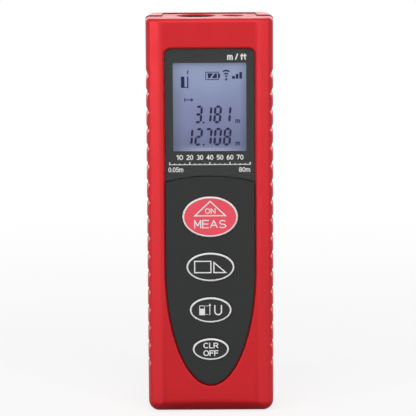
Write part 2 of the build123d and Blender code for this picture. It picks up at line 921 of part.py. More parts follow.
def main_board():
    """Printed circuit board with notches around the case screws."""
    board = block(
        -board_half_width, board_half_width, board_front_y, board_back_y, board_bottom_z, board_top_z
    )
    board = fillet(board.edges().filter_by(Axis.Y), board_corner)
    notches = [
        post(x, case_screw_low_z, front_boss_radius + boss_clearance, board_front_y - 1, board_back_y + 1)
        for x in (-case_screw_x, case_screw_x)
    ]
    corners = [
        block(
            min(x, 2 * x),
            max(x, 2 * x),
            board_front_y - 1,
            board_back_y + 1,
            case_screw_low_z - front_boss_radius - boss_clearance,
            case_screw_low_z + front_boss_radius + boss_clearance,
        )
        for x in (-case_screw_x, case_screw_x)
    ]
    holes = [
        post(x, z, small_shank_radius + 2 * screw_clearance, board_front_y - 1, board_back_y + 1)
        for x, z in board_screws
    ]
    return board - notches - corners - holes


def chip(x, z, width, height, thickness):
    """One component on the back of the board."""
    half = width / 2
    return block(x - half, x + half, board_back_y, board_back_y + thickness, z - height / 2, z + height / 2)


def board_components():
    """Processor, memory, crystal, coil and two rows of resistors on the back of the board."""
    parts = [chip(x, board_bottom_z + up, *size) for x, up, *size in lower_chips]
    parts += [chip(x, board_top_z - down, *size) for x, down, *size in upper_chips]
    row_start = -chip_row_pitch * (chip_row_count - 1) / 2
    for above_edge in chip_row_heights:
        for index in range(chip_row_count):
            x = row_start + chip_row_pitch * index
            z = board_bottom_z + above_edge
            parts.append(chip(x, z, small_chip_width, small_chip_height, small_chip_thickness))
    return parts


def display_gasket():
    """Foam frame between the front wall and the display glass."""
    outline = Pos(0, window_z) * Rectangle(2 * lcd_half_width, window_height + 2 * lcd_side_margin)
    opening = window_face(opening_margin, opening_corner)
    return slab(outline - opening, seat_back_y, lcd_front_y)


def lcd_glass():
    """Display cell with its contact ledge at the bottom."""
    return block(-lcd_half_width, lcd_half_width, lcd_front_y, lcd_back_y, lcd_bottom_z, lcd_top_z)


def backlight():
    """Light guide behind the display glass."""
    low_z = lcd_bottom_z + backlight_start_above_ledge
    return block(-lcd_half_width, lcd_half_width, lcd_back_y, backlight_back_y, low_z, lcd_top_z)


def lcd_frame():
    """Frame that holds glass and light guide against the front shell, staked at four ears."""
    half = lcd_half_width + lcd_clearance
    outer = block(
        -frame_half_width,
        frame_half_width,
        seat_back_y,
        frame_back_y,
        frame_bottom_z,
        frame_top_z,
    )
    pocket = block(
        -half,
        half,
        seat_back_y - 1,
        backlight_back_y,
        lcd_bottom_z - lcd_clearance,
        lcd_top_z + lcd_clearance,
    )
    frame = outer - pocket
    for side in (-1, 1):
        for z in ear_heights:
            near = frame_half_width - lcd_frame_wall / 2
            far = frame_half_width + lcd_ear_reach
            ear = block(
                min(side * near, side * far),
                max(side * near, side * far),
                seat_back_y,
                seat_back_y + lcd_ear_thickness,
                z - lcd_ear_height / 2,
                z + lcd_ear_height / 2,
            )
            hole = post(side * ear_x, z, stake_radius + lcd_clearance, seat_back_y - 1, frame_back_y)
            frame = frame + ear - hole
    slot = connector_block(lcd_clearance, backlight_back_y - 1, frame_back_y + 1)
    return frame - slot


def connector_block(grow, y0, y1):
    """Block where the striped connector runs from the glass to the board."""
    half = connector_width / 2 + grow
    low_z = lcd_bottom_z + connector_lift - grow
    high_z = lcd_bottom_z + connector_lift + connector_height + grow
    return block(-half, half, y0, y1, low_z, high_z)


def lcd_connector():
    """Striped rubber connector between the glass ledge and the board."""
    return connector_block(0, lcd_back_y, board_front_y)


# Battery


def battery_cell(side):
    """AAA cell: the left one has its plus end up, the right one down."""
    x = side * cell_spacing / 2
    body_length_only = cell_length - cell_nub_height
    if side < 0:
        top = bay_top_z - contact_thickness - contact_bump - contact_play
        bottom = top - cell_length
        can = upright(x, cell_y, cell_radius, bottom, bottom + body_length_only)
        nub = upright(x, cell_y, cell_nub_radius, bottom + body_length_only, top)
    else:
        bottom = bay_bottom_z + contact_thickness + contact_bump + contact_play
        can = upright(x, cell_y, cell_radius, bottom + cell_nub_height, bottom + cell_length)
        nub = upright(x, cell_y, cell_nub_radius, bottom, bottom + cell_nub_height)
    can = fillet(can.edges().filter_by(GeomType.CIRCLE), cell_edge_round)
    return can + nub


def contact_plate(x0, x1, low_z, bumps, tab_x):
    """Spring-steel plate at one end of the bay, with round bumps and an optional tab to the board."""
    low_y = bay_floor_y + cell_clearance
    plate = block(x0, x1, low_y, bay_end_wall_back_y - cell_clearance, low_z, low_z + contact_thickness)
    for x, z0, z1 in bumps:
        plate = plate + upright(x, cell_y, contact_bump_radius, z0, z1)
    if tab_x is not None:
        tab = block(
            tab_x - tab_half_width,
            tab_x + tab_half_width,
            board_back_y,
            low_y + 1,
            low_z,
            low_z + contact_thickness,
        )
        plate = plate + tab
    return plate


def contact_plates():
    """One plate joins the cells at the bottom, and two lead from them to the board at the top."""
    edge = bay_half_width - contact_margin
    pole = cell_spacing / 2
    bottom = bay_bottom_z
    top = bay_top_z - contact_thickness
    bottom_bump = [(pole, bottom, bottom + contact_thickness + contact_bump)]
    top_bump = [(-pole, top - contact_bump, top + contact_thickness / 2)]
    return [
        contact_plate(-edge, edge, bottom, bottom_bump, None),
        contact_plate(-edge, -contact_margin / 2, top, top_bump, -pole),
        contact_plate(contact_margin / 2, edge, top, [], pole),
    ]


def battery_spring():
    """Conical contact spring, wide at its foot."""
    height = spring_height - 2 * spring_wire_radius
    slope = math.degrees(math.atan((spring_base_radius - spring_tip_radius) / height))
    helix = Helix(height / spring_turns, height, spring_base_radius, cone_angle=-slope)
    start = helix @ 0
    section = Plane(origin=start, z_dir=helix % 0) * Circle(spring_wire_radius)
    return Pos(0, 0, spring_wire_radius) * sweep(section, path=helix, is_frenet=True)


def battery_springs():
    """A spring under the left cell and one above the right cell."""
    left = Pos(-cell_spacing / 2, cell_y, bay_bottom_z + contact_thickness) * battery_spring()
    right = Pos(cell_spacing / 2, cell_y, bay_top_z - contact_thickness) * Rot(180, 0, 0) * battery_spring()
    return [left, right]


# Optics


def optics_carrier():
    """One moulding that holds the receiving lens, the laser barrel and the sensor board."""
    receiver = upright(receiver_x, optics_y, barrel_radius, barrel_bottom_z, barrel_top_z)
    cone = Cone(cone_bottom_radius, cone_top_radius, cone_length)
    receiver = receiver + Pos(receiver_x, optics_y, cone_bottom_z + cone_length / 2) * cone
    flange = block(
        receiver_x - flange_half,
        receiver_x + flange_half,
        optics_y - flange_half + 1,
        spine_y + spine_thickness / 2,
        flange_bottom_z,
        cone_bottom_z,
    )
    tube = upright(emitter_x, optics_y, tube_radius, tube_bottom_z, barrel_top_z)
    spine = block(-spine_half_width, spine_half_width, spine_y, spine_back_y, flange_bottom_z, spine_top_z)
    spine = fillet(spine.edges().filter_by(Axis.Y), board_corner)
    receiver_rib = block(
        receiver_x - rib_half_width,
        receiver_x + rib_half_width,
        optics_y,
        spine_y + 0.5,
        cone_bottom_z - 1,
        spine_top_z,
    )
    emitter_rib = block(
        emitter_x - rib_half_width,
        emitter_x + rib_half_width,
        optics_y,
        spine_y + 0.5,
        tube_bottom_z,
        spine_top_z,
    )
    carrier = receiver + flange + tube + spine + receiver_rib + emitter_rib
    for x in sensor_pin_places():
        carrier = carrier + upright(
            x,
            spine_y - sensor_pin_inset,
            sensor_pin_radius,
            sensor_board_z,
            flange_bottom_z + 1,
        )
    return carrier - carrier_bores()


def sensor_pin_places():
    """Places across the width of the two pins that hold the sensor board."""
    return (receiver_x - flange_half + sensor_pin_inset, receiver_x + flange_half - sensor_pin_inset)


def carrier_bores():
    """Light paths, lens seats and screw holes of the optics carrier."""
    cone_inner_top = cone_top_radius - cone_skin
    cone_inner_bottom = cone_bottom_radius - cone_skin
    light = Pos(receiver_x, optics_y, cone_bottom_z + cone_length / 2)
    bores = [
        upright(receiver_x, optics_y, lens_bore_radius, lens_seat_z, barrel_top_z + 1),
        upright(receiver_x, optics_y, cone_inner_top, barrel_bottom_z - 0.01, lens_seat_z + 0.5),
        light * Cone(cone_inner_bottom, cone_inner_top, cone_length),
        upright(receiver_x, optics_y, cone_inner_bottom, flange_bottom_z, cone_bottom_z + 0.01),
        upright(
            receiver_x,
            optics_y,
            photodiode_radius + photodiode_clearance,
            flange_bottom_z - 1,
            flange_bottom_z + photodiode_height + photodiode_clearance / 2,
        ),
        upright(emitter_x, optics_y, tube_bore_radius, tube_bottom_z - 1, barrel_top_z + 1),
    ]
    for x, z in spine_screws:
        bores.append(post(x, z, small_shank_radius + 2 * screw_clearance, spine_y - 1, spine_back_y + 1))
    return bores


def lens_sphere(clearance):
    """Ball whose top is the curved face of the receiving lens, grown by a clearance."""
    radius = lens_bore_radius - lens_fit
    rise = lens_thickness - lens_edge
    sphere_radius = (radius**2 + rise**2) / (2 * rise)
    centre_z = lens_seat_z + lens_thickness - sphere_radius
    return Pos(receiver_x, optics_y, centre_z) * Sphere(sphere_radius + clearance)


def receiver_lens():
    """Plano-convex lens that gathers the returned light."""
    radius = lens_bore_radius - lens_fit
    blank = upright(receiver_x, optics_y, radius, lens_seat_z, lens_seat_z + lens_thickness)
    return blank & lens_sphere(0)


def lens_ring():
    """Ring that holds the receiving lens down by the rim of its curved face."""
    radius = lens_bore_radius - lens_fit
    outer = upright(receiver_x, optics_y, radius, lens_seat_z + lens_edge, barrel_top_z)
    inner = upright(receiver_x, optics_y, radius - ring_width, lens_seat_z, barrel_top_z + 1)
    return outer - inner - lens_sphere(lens_fit)


def round_window(x, hole_radius):
    """Flat round window under the top wall."""
    return upright(x, optics_y, hole_radius + window_overlap, glass_bottom_z, inner_top_z)


def window_gaskets():
    """Foam rings between the optics carrier and the two windows."""
    rings = []
    for x, hole_radius in ((receiver_x, receiver_hole_radius), (emitter_x, emitter_hole_radius)):
        outer_radius = hole_radius + window_overlap
        outer = upright(x, optics_y, outer_radius, barrel_top_z, glass_bottom_z)
        inner = upright(x, optics_y, outer_radius - ring_gasket_width, barrel_top_z - 1, glass_bottom_z + 1)
        rings.append(outer - inner)
    return rings


def laser_barrel():
    """Brass barrel that holds the laser diode and the collimator lens."""
    radius = tube_bore_radius - lens_fit
    barrel = upright(emitter_x, optics_y, radius, laser_barrel_bottom_z, laser_barrel_top_z)
    bore = upright(
        emitter_x, optics_y, radius - laser_barrel_wall, laser_barrel_bottom_z - 1, laser_barrel_top_z + 1
    )
    return barrel - bore


def collimator_lens():
    """Small lens at the top of the laser barrel."""
    radius = tube_bore_radius - lens_fit - laser_barrel_wall - lens_fit
    top = laser_barrel_top_z - lens_edge / 2
    lens = upright(emitter_x, optics_y, radius, top - collimator_thickness, top)
    return fillet(lens.edges().filter_by(GeomType.CIRCLE).sort_by(Axis.Z)[-1], collimator_thickness / 4)


def laser_diode():
    """Laser diode: flange, can and three pins."""
    radius = tube_bore_radius - lens_fit
    flange = upright(emitter_x, optics_y, radius, diode_bottom_z, laser_barrel_bottom_z)
    can_top_z = laser_barrel_bottom_z + laser_can_height
    diode = flange + upright(emitter_x, optics_y, laser_can_radius, laser_barrel_bottom_z, can_top_z)
    for index in range(3):
        angle = math.radians(90 + 120 * index)
        x = emitter_x + laser_pin_circle * math.cos(angle)
        y = optics_y + laser_pin_circle * math.sin(angle)
        diode = diode + upright(
            x,
            y,
            laser_pin_radius,
            diode_bottom_z - laser_pin_length,
            diode_bottom_z + 0.1,
        )
    return diode


def sensor_board():
    """Small board under the receiver, at right angles to the main board."""
    low_y = optics_y - flange_half + 1
    pin_y = spine_y - sensor_pin_inset
    board = block(
        receiver_x - flange_half,
        receiver_x + flange_half,
        low_y,
        spine_y - lens_fit,
        sensor_board_z,
        flange_bottom_z,
    )
    holes = [
        upright(x, pin_y, sensor_pin_radius + lcd_clearance, sensor_board_z - 1, flange_bottom_z + 1)
        for x in sensor_pin_places()
    ]
    return board - holes


def photodiode():
    """Light sensor at the focus of the receiving lens."""
    can = upright(
        receiver_x,
        optics_y,
        photodiode_radius,
        flange_bottom_z,
        flange_bottom_z + photodiode_height,
    )
    return fillet(can.edges().filter_by(GeomType.CIRCLE).sort_by(Axis.Z)[-1], photodiode_clearance)


def sensor_shield():
    """Folded metal can under the sensor board."""
    half = shield_size / 2
    low_z = sensor_board_z - shield_height
    y = optics_y + shield_shift
    outer = block(receiver_x - half, receiver_x + half, y - half, y + half, low_z, sensor_board_z)
    inner = block(
        receiver_x - half + shield_skin,
        receiver_x + half - shield_skin,
        y - half + shield_skin,
        y + half - shield_skin,
        low_z + shield_skin,
        sensor_board_z + 1,
    )
    return outer - inner


def signal_ribbons():
    """Flat ribbons from the main board up to the sensor board and to the laser diode."""
    low_z = board_top_z - ribbon_board_overlap
    back_y_of_ribbon = board_back_y + ribbon_thickness
    half = sensor_ribbon_width / 2
    sensor_edge_y = optics_y - flange_half + 1
    sensor_up = block(
        receiver_x - half, receiver_x + half, board_back_y, back_y_of_ribbon, low_z, sensor_board_z
    )
    sensor_over = block(
        receiver_x - half,
        receiver_x + half,
        board_back_y,
        sensor_edge_y + 0.8,
        sensor_board_z - ribbon_thickness,
        sensor_board_z,
    )
    half = laser_ribbon_width / 2
    end_z = diode_bottom_z - laser_pin_length
    laser_up = block(emitter_x - half, emitter_x + half, board_back_y, back_y_of_ribbon, low_z, end_z)
    laser_over = block(
        emitter_x - half,
        emitter_x + half,
        board_back_y,
        optics_y + laser_can_radius,
        end_z - ribbon_thickness,
        end_z,
    )
    return [sensor_up + sensor_over, laser_up + laser_over]


def buzzer():
    """Round sounder on the back of the board."""
    end_y = board_back_y + buzzer_height
    can = post(buzzer_x, buzzer_z, buzzer_radius, board_back_y, end_y)
    can = fillet(can.edges().filter_by(GeomType.CIRCLE).sort_by(Axis.Y)[-1], buzzer_edge_round)
    return can - post(buzzer_x, buzzer_z, buzzer_port_radius, end_y - buzzer_port_depth, end_y + 1)


# Screws


def cross_recess(head_face_y, depth, head_radius):
    """Cross-shaped driver recess in a head that faces the back, about its axis."""
    reach = head_radius * cross_reach
    wide = block(-reach, reach, head_face_y - depth, head_face_y + 1, -cross_width / 2, cross_width / 2)
    tall = block(-cross_width / 2, cross_width / 2, head_face_y - depth, head_face_y + 1, -reach, reach)
    return [wide, tall]


def case_screws():
    """Four screws that close the case from the back."""
    head = post(0, 0, case_head_radius, case_head_y, case_head_y + case_head_height)
    head = fillet(head.edges().filter_by(GeomType.CIRCLE).sort_by(Axis.Y)[-1], head_round)
    shank = post(0, 0, case_shank_radius, case_head_y - case_screw_length, case_head_y + 0.1)
    screw = head + shank - cross_recess(case_head_y + case_head_height, cross_depth, case_head_radius)
    return [Pos(x, 0, z) * screw for x, z in case_screws_xz]


def small_screw(seat_y_of_head, towards_back):
    """Small screw whose head bears on a face, its shank pointing to the front or the back."""
    head = post(0, 0, small_head_radius, 0, small_head_height)
    head = fillet(head.edges().filter_by(GeomType.CIRCLE).sort_by(Axis.Y)[-1], head_round)
    shank = post(0, 0, small_shank_radius, -small_screw_length, 0.1)
    screw = head + shank - cross_recess(small_head_height, cross_depth, small_head_radius)
    if towards_back:
        screw = Rot(180, 0, 0) * screw
    return Pos(0, seat_y_of_head, 0) * screw


def board_screws_set():
    """Three screws that hold the main board on the front shell."""
    screw = small_screw(board_back_y, False)
    return [Pos(x, 0, z) * screw for x, z in board_screws]


def carrier_screws():
    """Four screws that hold the optics carrier in the back shell."""
    screw = small_screw(spine_y, True)
    return [Pos(x, 0, z) * screw for x, z in spine_screws]


def write(name, shape):
    """Write one piece, or a group of separate solids, under its name."""
    if isinstance(shape, list):
        shape = Compound(children=[solid for piece in shape for solid in piece.solids()])
    export_step(shape, f"parts/{name}.step")


def main():
    """Build and write every piece."""
    os.makedirs("parts", exist_ok=True)
    write("front_shell", front_shell())
    write("back_shell", back_shell())
    write("end_seal", end_seal())
    write("battery_door", battery_door())
    write("display_lens", display_lens())
    write("display_mask", display_mask())
    write("keypad_panel", keypad_panel())
    for name in key_sizes:
        write(f"key_{name}", key_cap(name))
        write(f"dome_{name}", return_dome(name))
    write("keypad_mat", keypad_mat())
    write("board_pads", board_pads())
    write("main_board", main_board())
    write("board_components", board_components())
    write("display_gasket", display_gasket())
    write("lcd_glass", lcd_glass())
    write("backlight", backlight())
    write("lcd_frame", lcd_frame())
    write("lcd_connector", lcd_connector())
    write("battery_left", battery_cell(-1))
    write("battery_right", battery_cell(1))
    write("contact_plates", contact_plates())
    write("battery_springs", battery_springs())
    write("optics_carrier", optics_carrier())
    write("receiver_lens", receiver_lens())
    write("lens_ring", lens_ring())
    write("receiver_window", round_window(receiver_x, receiver_hole_radius))
    write("emitter_window", round_window(emitter_x, emitter_hole_radius))
    write("window_gaskets", window_gaskets())
    write("laser_barrel", laser_barrel())
    write("collimator_lens", collimator_lens())
    write("laser_diode", laser_diode())
    write("sensor_board", sensor_board())
    write("photodiode", photodiode())
    write("sensor_shield", sensor_shield())
    write("signal_ribbons", signal_ribbons())
    write("buzzer", buzzer())
    write("rating_plate", rating_plate())
    write("case_screws", case_screws())
    write("board_screws", board_screws_set())
    write("carrier_screws", carrier_screws())


main()
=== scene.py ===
import json
import math

import bpy
from bpy.props import FloatProperty, FloatVectorProperty, PointerProperty
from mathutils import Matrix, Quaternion, Vector

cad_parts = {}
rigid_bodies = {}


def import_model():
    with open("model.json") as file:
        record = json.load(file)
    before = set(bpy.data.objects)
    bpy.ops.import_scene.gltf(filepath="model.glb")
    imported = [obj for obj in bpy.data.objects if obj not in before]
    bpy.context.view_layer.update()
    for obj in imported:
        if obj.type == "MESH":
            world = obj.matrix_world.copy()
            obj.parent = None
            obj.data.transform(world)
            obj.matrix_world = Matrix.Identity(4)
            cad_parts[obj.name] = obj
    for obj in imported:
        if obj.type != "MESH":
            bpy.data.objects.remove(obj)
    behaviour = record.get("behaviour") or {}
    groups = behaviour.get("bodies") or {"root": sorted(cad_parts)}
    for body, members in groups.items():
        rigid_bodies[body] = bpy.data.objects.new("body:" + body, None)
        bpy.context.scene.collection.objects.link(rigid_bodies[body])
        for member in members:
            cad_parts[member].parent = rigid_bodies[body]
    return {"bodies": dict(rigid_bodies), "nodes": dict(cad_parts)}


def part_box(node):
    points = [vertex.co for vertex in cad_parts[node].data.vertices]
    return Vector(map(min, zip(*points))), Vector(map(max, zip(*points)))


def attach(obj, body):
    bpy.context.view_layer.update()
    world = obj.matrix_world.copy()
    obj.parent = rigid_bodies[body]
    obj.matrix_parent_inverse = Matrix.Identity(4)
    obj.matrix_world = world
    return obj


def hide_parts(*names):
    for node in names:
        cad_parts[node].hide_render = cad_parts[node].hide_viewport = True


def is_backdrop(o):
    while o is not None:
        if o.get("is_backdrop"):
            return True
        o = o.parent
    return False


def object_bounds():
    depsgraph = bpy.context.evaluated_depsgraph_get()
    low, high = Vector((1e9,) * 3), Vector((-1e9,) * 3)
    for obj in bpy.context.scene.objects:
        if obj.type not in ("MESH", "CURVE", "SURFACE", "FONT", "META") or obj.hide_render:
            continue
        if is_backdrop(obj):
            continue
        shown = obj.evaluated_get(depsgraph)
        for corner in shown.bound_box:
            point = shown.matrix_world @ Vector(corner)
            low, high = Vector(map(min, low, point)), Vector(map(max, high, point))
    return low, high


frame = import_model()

bl_info = {
    "name": "Laser distance meter",
    "version": (1, 0, 0),
    "blender": (4, 5, 0),
    "location": "3D View > Sidebar > Meter",
    "description": "Finishes, prints and studio of a pocket laser distance meter",
    "category": "Object",
}

MM = 0.001
KEYS = ("measure", "area", "reference", "clear")

# How a CAD node is merged and shaded.
MERGE_DISTANCE = 1e-6
FLAT_ANGLE = math.radians(0.2)
SMOOTH_ANGLE = math.radians(28)

# Sizes of CAD nodes that their boxes don't give.
KEY_EDGE_ROUND = 0.35 * MM
KEY_FLANGE = 0.8 * MM
WINDOW_OVERLAP = 0.6 * MM
DISPLAY_OPENING_REACH = 11.5 * MM
CELL_NUB = 0.8 * MM

# Half the length of the ruled line under the display, and the height of its foot, in millimetres.
SCALE_REACH = 12.0
SCALE_Z = 74.55

# The two rows on the display with the heights of their feet, and where they end across.
READINGS = (("3.181", 86.64), ("12.708", 80.0))
READINGS_END = 6.3


# Settings


def tint(name, description, default):
    """Colour setting."""
    return FloatVectorProperty(
        name=name, description=description, default=default, size=3, min=0, max=1, subtype="COLOR"
    )


def length(name, description, default):
    """Length setting, in metres."""
    return FloatProperty(
        name=name, description=description, default=default, min=0, precision=5, unit="LENGTH"
    )


def power(name, description, default):
    """Lamp power setting, in watts."""
    return FloatProperty(name=name, description=description, default=default, min=0, unit="POWER")


def turn(name, description, default):
    """Angle setting, given in degrees."""
    return FloatProperty(
        name=name, description=description, default=math.radians(default), unit="ROTATION"
    )


class MeterColours(bpy.types.PropertyGroup):
    """Colours of the case, the keys, the prints and the lit display."""

    shell: tint("Shell", "Red plastic of the case halves and the door", (0.6, 0.012, 0.018))
    red_key: tint("Measuring key", "Red rubber of the measuring key", (0.93, 0.083, 0.125))
    dark_key: tint("Dark keys", "Rubber of the three lower keys", (0.012, 0.012, 0.013))
    panel: tint("Keypad panel", "Dark panel round the keys", (0.01, 0.011, 0.011))
    film: tint("Printed film", "Dark film behind the display lens", (0.012, 0.0155, 0.0145))
    ink: tint("Print", "White ink of the scale and the key legends", (0.93, 0.93, 0.92))
    lcd_top: tint("Display top", "Lit display at its upper edge", (0.27, 0.33, 0.5))
    lcd_middle: tint("Display middle", "Lit display at its middle", (0.18, 0.205, 0.35))
    lcd_foot: tint("Display foot", "Lit display at its lower edge", (0.11, 0.125, 0.235))
    segment: tint("Display segments", "Dark segments of the display", (0.003, 0.004, 0.06))


class MeterSizes(bpy.types.PropertyGroup):
    """Sizes of the prints, of the room they need and of the display's digits."""

    ring_width: length("Key ring", "Width of the printed ring at a key's edge", 0.52 * MM)
    line_width: length("Legend line", "Width of the lines on the keys", 0.34 * MM)
    ink_depth: length("Ink depth", "Thickness of all prints", 0.02 * MM)
    ink_proud: length("Ink height", "How far a print stands off its surface", 0.012 * MM)
    film_gap: length("Film gap", "Air between the lens and the printed film", 0.05 * MM)
    key_sink: length("Key face", "How far a key's print lies behind its front", 0.014 * MM)
    digit_width: length("Digit width", "Width of a display digit", 2.3 * MM)
    digit_height: length("Digit height", "Height of a display digit", 5.28 * MM)
    digit_pitch: length("Digit pitch", "Distance between display digits", 2.81 * MM)
    digit_stroke: length("Digit stroke", "Width of a display segment", 0.7 * MM)
    digit_slant: turn("Digit slant", "Lean of the display digits", 5)


class MeterStudio(bpy.types.PropertyGroup):
    """Power of the softboxes and place of the camera."""

    left_power: power("Left softbox", "Strip softbox left of the front", 2.7)
    right_power: power("Right softbox", "Strip softbox right of the front", 2.0)
    front_power: power("Front softbox", "Softbox high behind the camera", 25.5)
    back_power: power("Back softbox", "Softbox behind the object", 2.2)
    camera_distance: length("Camera distance", "From the camera to the object's middle", 0.6857)
    camera_height: turn("Camera elevation", "Angle of the camera above the object", 9.04)
    camera_roll: turn("Camera roll", "Turn of the camera about its own axis", -0.31)


# Selecting and shaping


def take(*pieces):
    """Select only these objects, and make the first one active."""
    bpy.ops.object.select_all(action="DESELECT")
    for piece in pieces:
        piece.select_set(True)
    bpy.context.view_layer.objects.active = pieces[0]


def edit(piece, *steps):
    """Run edit-mode steps on all of a piece."""
    take(piece)
    bpy.ops.object.mode_set(mode="EDIT")
    bpy.ops.mesh.select_all(action="SELECT")
    for step in steps:
        step()
    bpy.ops.object.mode_set(mode="OBJECT")


def apply_modifier(piece, kind, **settings):
    """Add a modifier with its settings and apply it."""
    take(piece)
    modifier = piece.modifiers.new(kind.lower(), kind)
    for name, value in settings.items():
        setattr(modifier, name, value)
    bpy.ops.object.modifier_apply(modifier=modifier.name)


def settle(piece):
    """Put a piece's place into its mesh."""
    take(piece)
    bpy.ops.object.transform_apply(location=True, rotation=True, scale=True)


def join(pieces, name):
    """Join pieces into one and name it."""
    take(*pieces)
    if len(pieces) > 1:
        bpy.ops.object.join()
    piece = bpy.context.object
    piece.name = name
    piece.data.name = name
    return piece


def tile(corners, y):
    """Flat plate that faces the front, with its corners given in millimetres across X and Z."""
    bpy.ops.object.select_all(action="DESELECT")
    bpy.ops.mesh.primitive_circle_add(vertices=len(corners), fill_type="NGON")
    piece = bpy.context.object
    for vertex, (x, z) in zip(piece.data.vertices, corners):
        vertex.co = (x * MM, y, z * MM)
    return piece


def bar(x0, z0, x1, z1, y):
    """Upright rectangle between two corners, in millimetres."""
    bpy.ops.object.select_all(action="DESELECT")
    middle = ((x0 + x1) / 2 * MM, y, (z0 + z1) / 2 * MM)
    bpy.ops.mesh.primitive_plane_add(size=1, location=middle, rotation=(math.pi / 2, 0, 0))
    piece = bpy.context.object
    piece.scale = ((x1 - x0) * MM, (z1 - z0) * MM, 1)
    settle(piece)
    return piece


def copied(piece, x, z):
    """Copy of a flat mark with its own mesh, moved across and up in millimetres."""
    twin = piece.copy()
    twin.data = piece.data.copy()
    bpy.context.scene.collection.objects.link(twin)
    twin.location = (x * MM, 0, z * MM)
    settle(twin)
    return twin


def oval_points(x, z, reach_x, reach_z, angles):
    """Points of an oval at some angles."""
    return [(x + reach_x * math.cos(angle), z + reach_z * math.sin(angle)) for angle in angles]


def arc_band(x, z, reach_x, reach_z, width, start, end, y, steps=12):
    """Band along part of an oval, between two angles in degrees."""
    angles = [math.radians(start + (end - start) * i / steps) for i in range(steps + 1)]
    half = width / 2
    outer = oval_points(x, z, reach_x + half, reach_z + half, angles)
    inner = oval_points(x, z, reach_x - half, reach_z - half, angles)
    corners = outer + inner[::-1]
    return tile(corners if end > start else corners[::-1], y)


def stroke(x0, z0, x1, z1, width, y):
    """Straight line of an even width, with square ends where it stands or lies."""
    run = math.hypot(x1 - x0, z1 - z0) or 1
    across, up = (x1 - x0) / run, (z1 - z0) / run
    half = width / 2
    level_or_upright = abs(across * up) < 0.01
    spare = half if level_or_upright else half * 0.3
    if (x0, z0) == (x1, z1):
        across, up = 1, 0
    a = (x0 - across * spare, z0 - up * spare)
    b = (x1 + across * spare, z1 + up * spare)
    side = (-up * half, across * half)
    corners = [
        (a[0] - side[0], a[1] - side[1]),
        (b[0] - side[0], b[1] - side[1]),
        (b[0] + side[0], b[1] + side[1]),
        (a[0] + side[0], a[1] + side[1]),
    ]
    return tile(corners, y)


def spot(x, z, radius, y, sides=20):
    """Round dot."""
    angles = [2 * math.pi * index / sides for index in range(sides)]
    return tile(oval_points(x, z, radius, radius, angles), y)


def outline(piece, width):
    """Keep only a border of a flat plate."""
    edit(
        piece,
        lambda: bpy.ops.mesh.inset(thickness=width, depth=0, use_even_offset=True),
        lambda: bpy.ops.mesh.delete(type="FACE"),
    )
    return piece


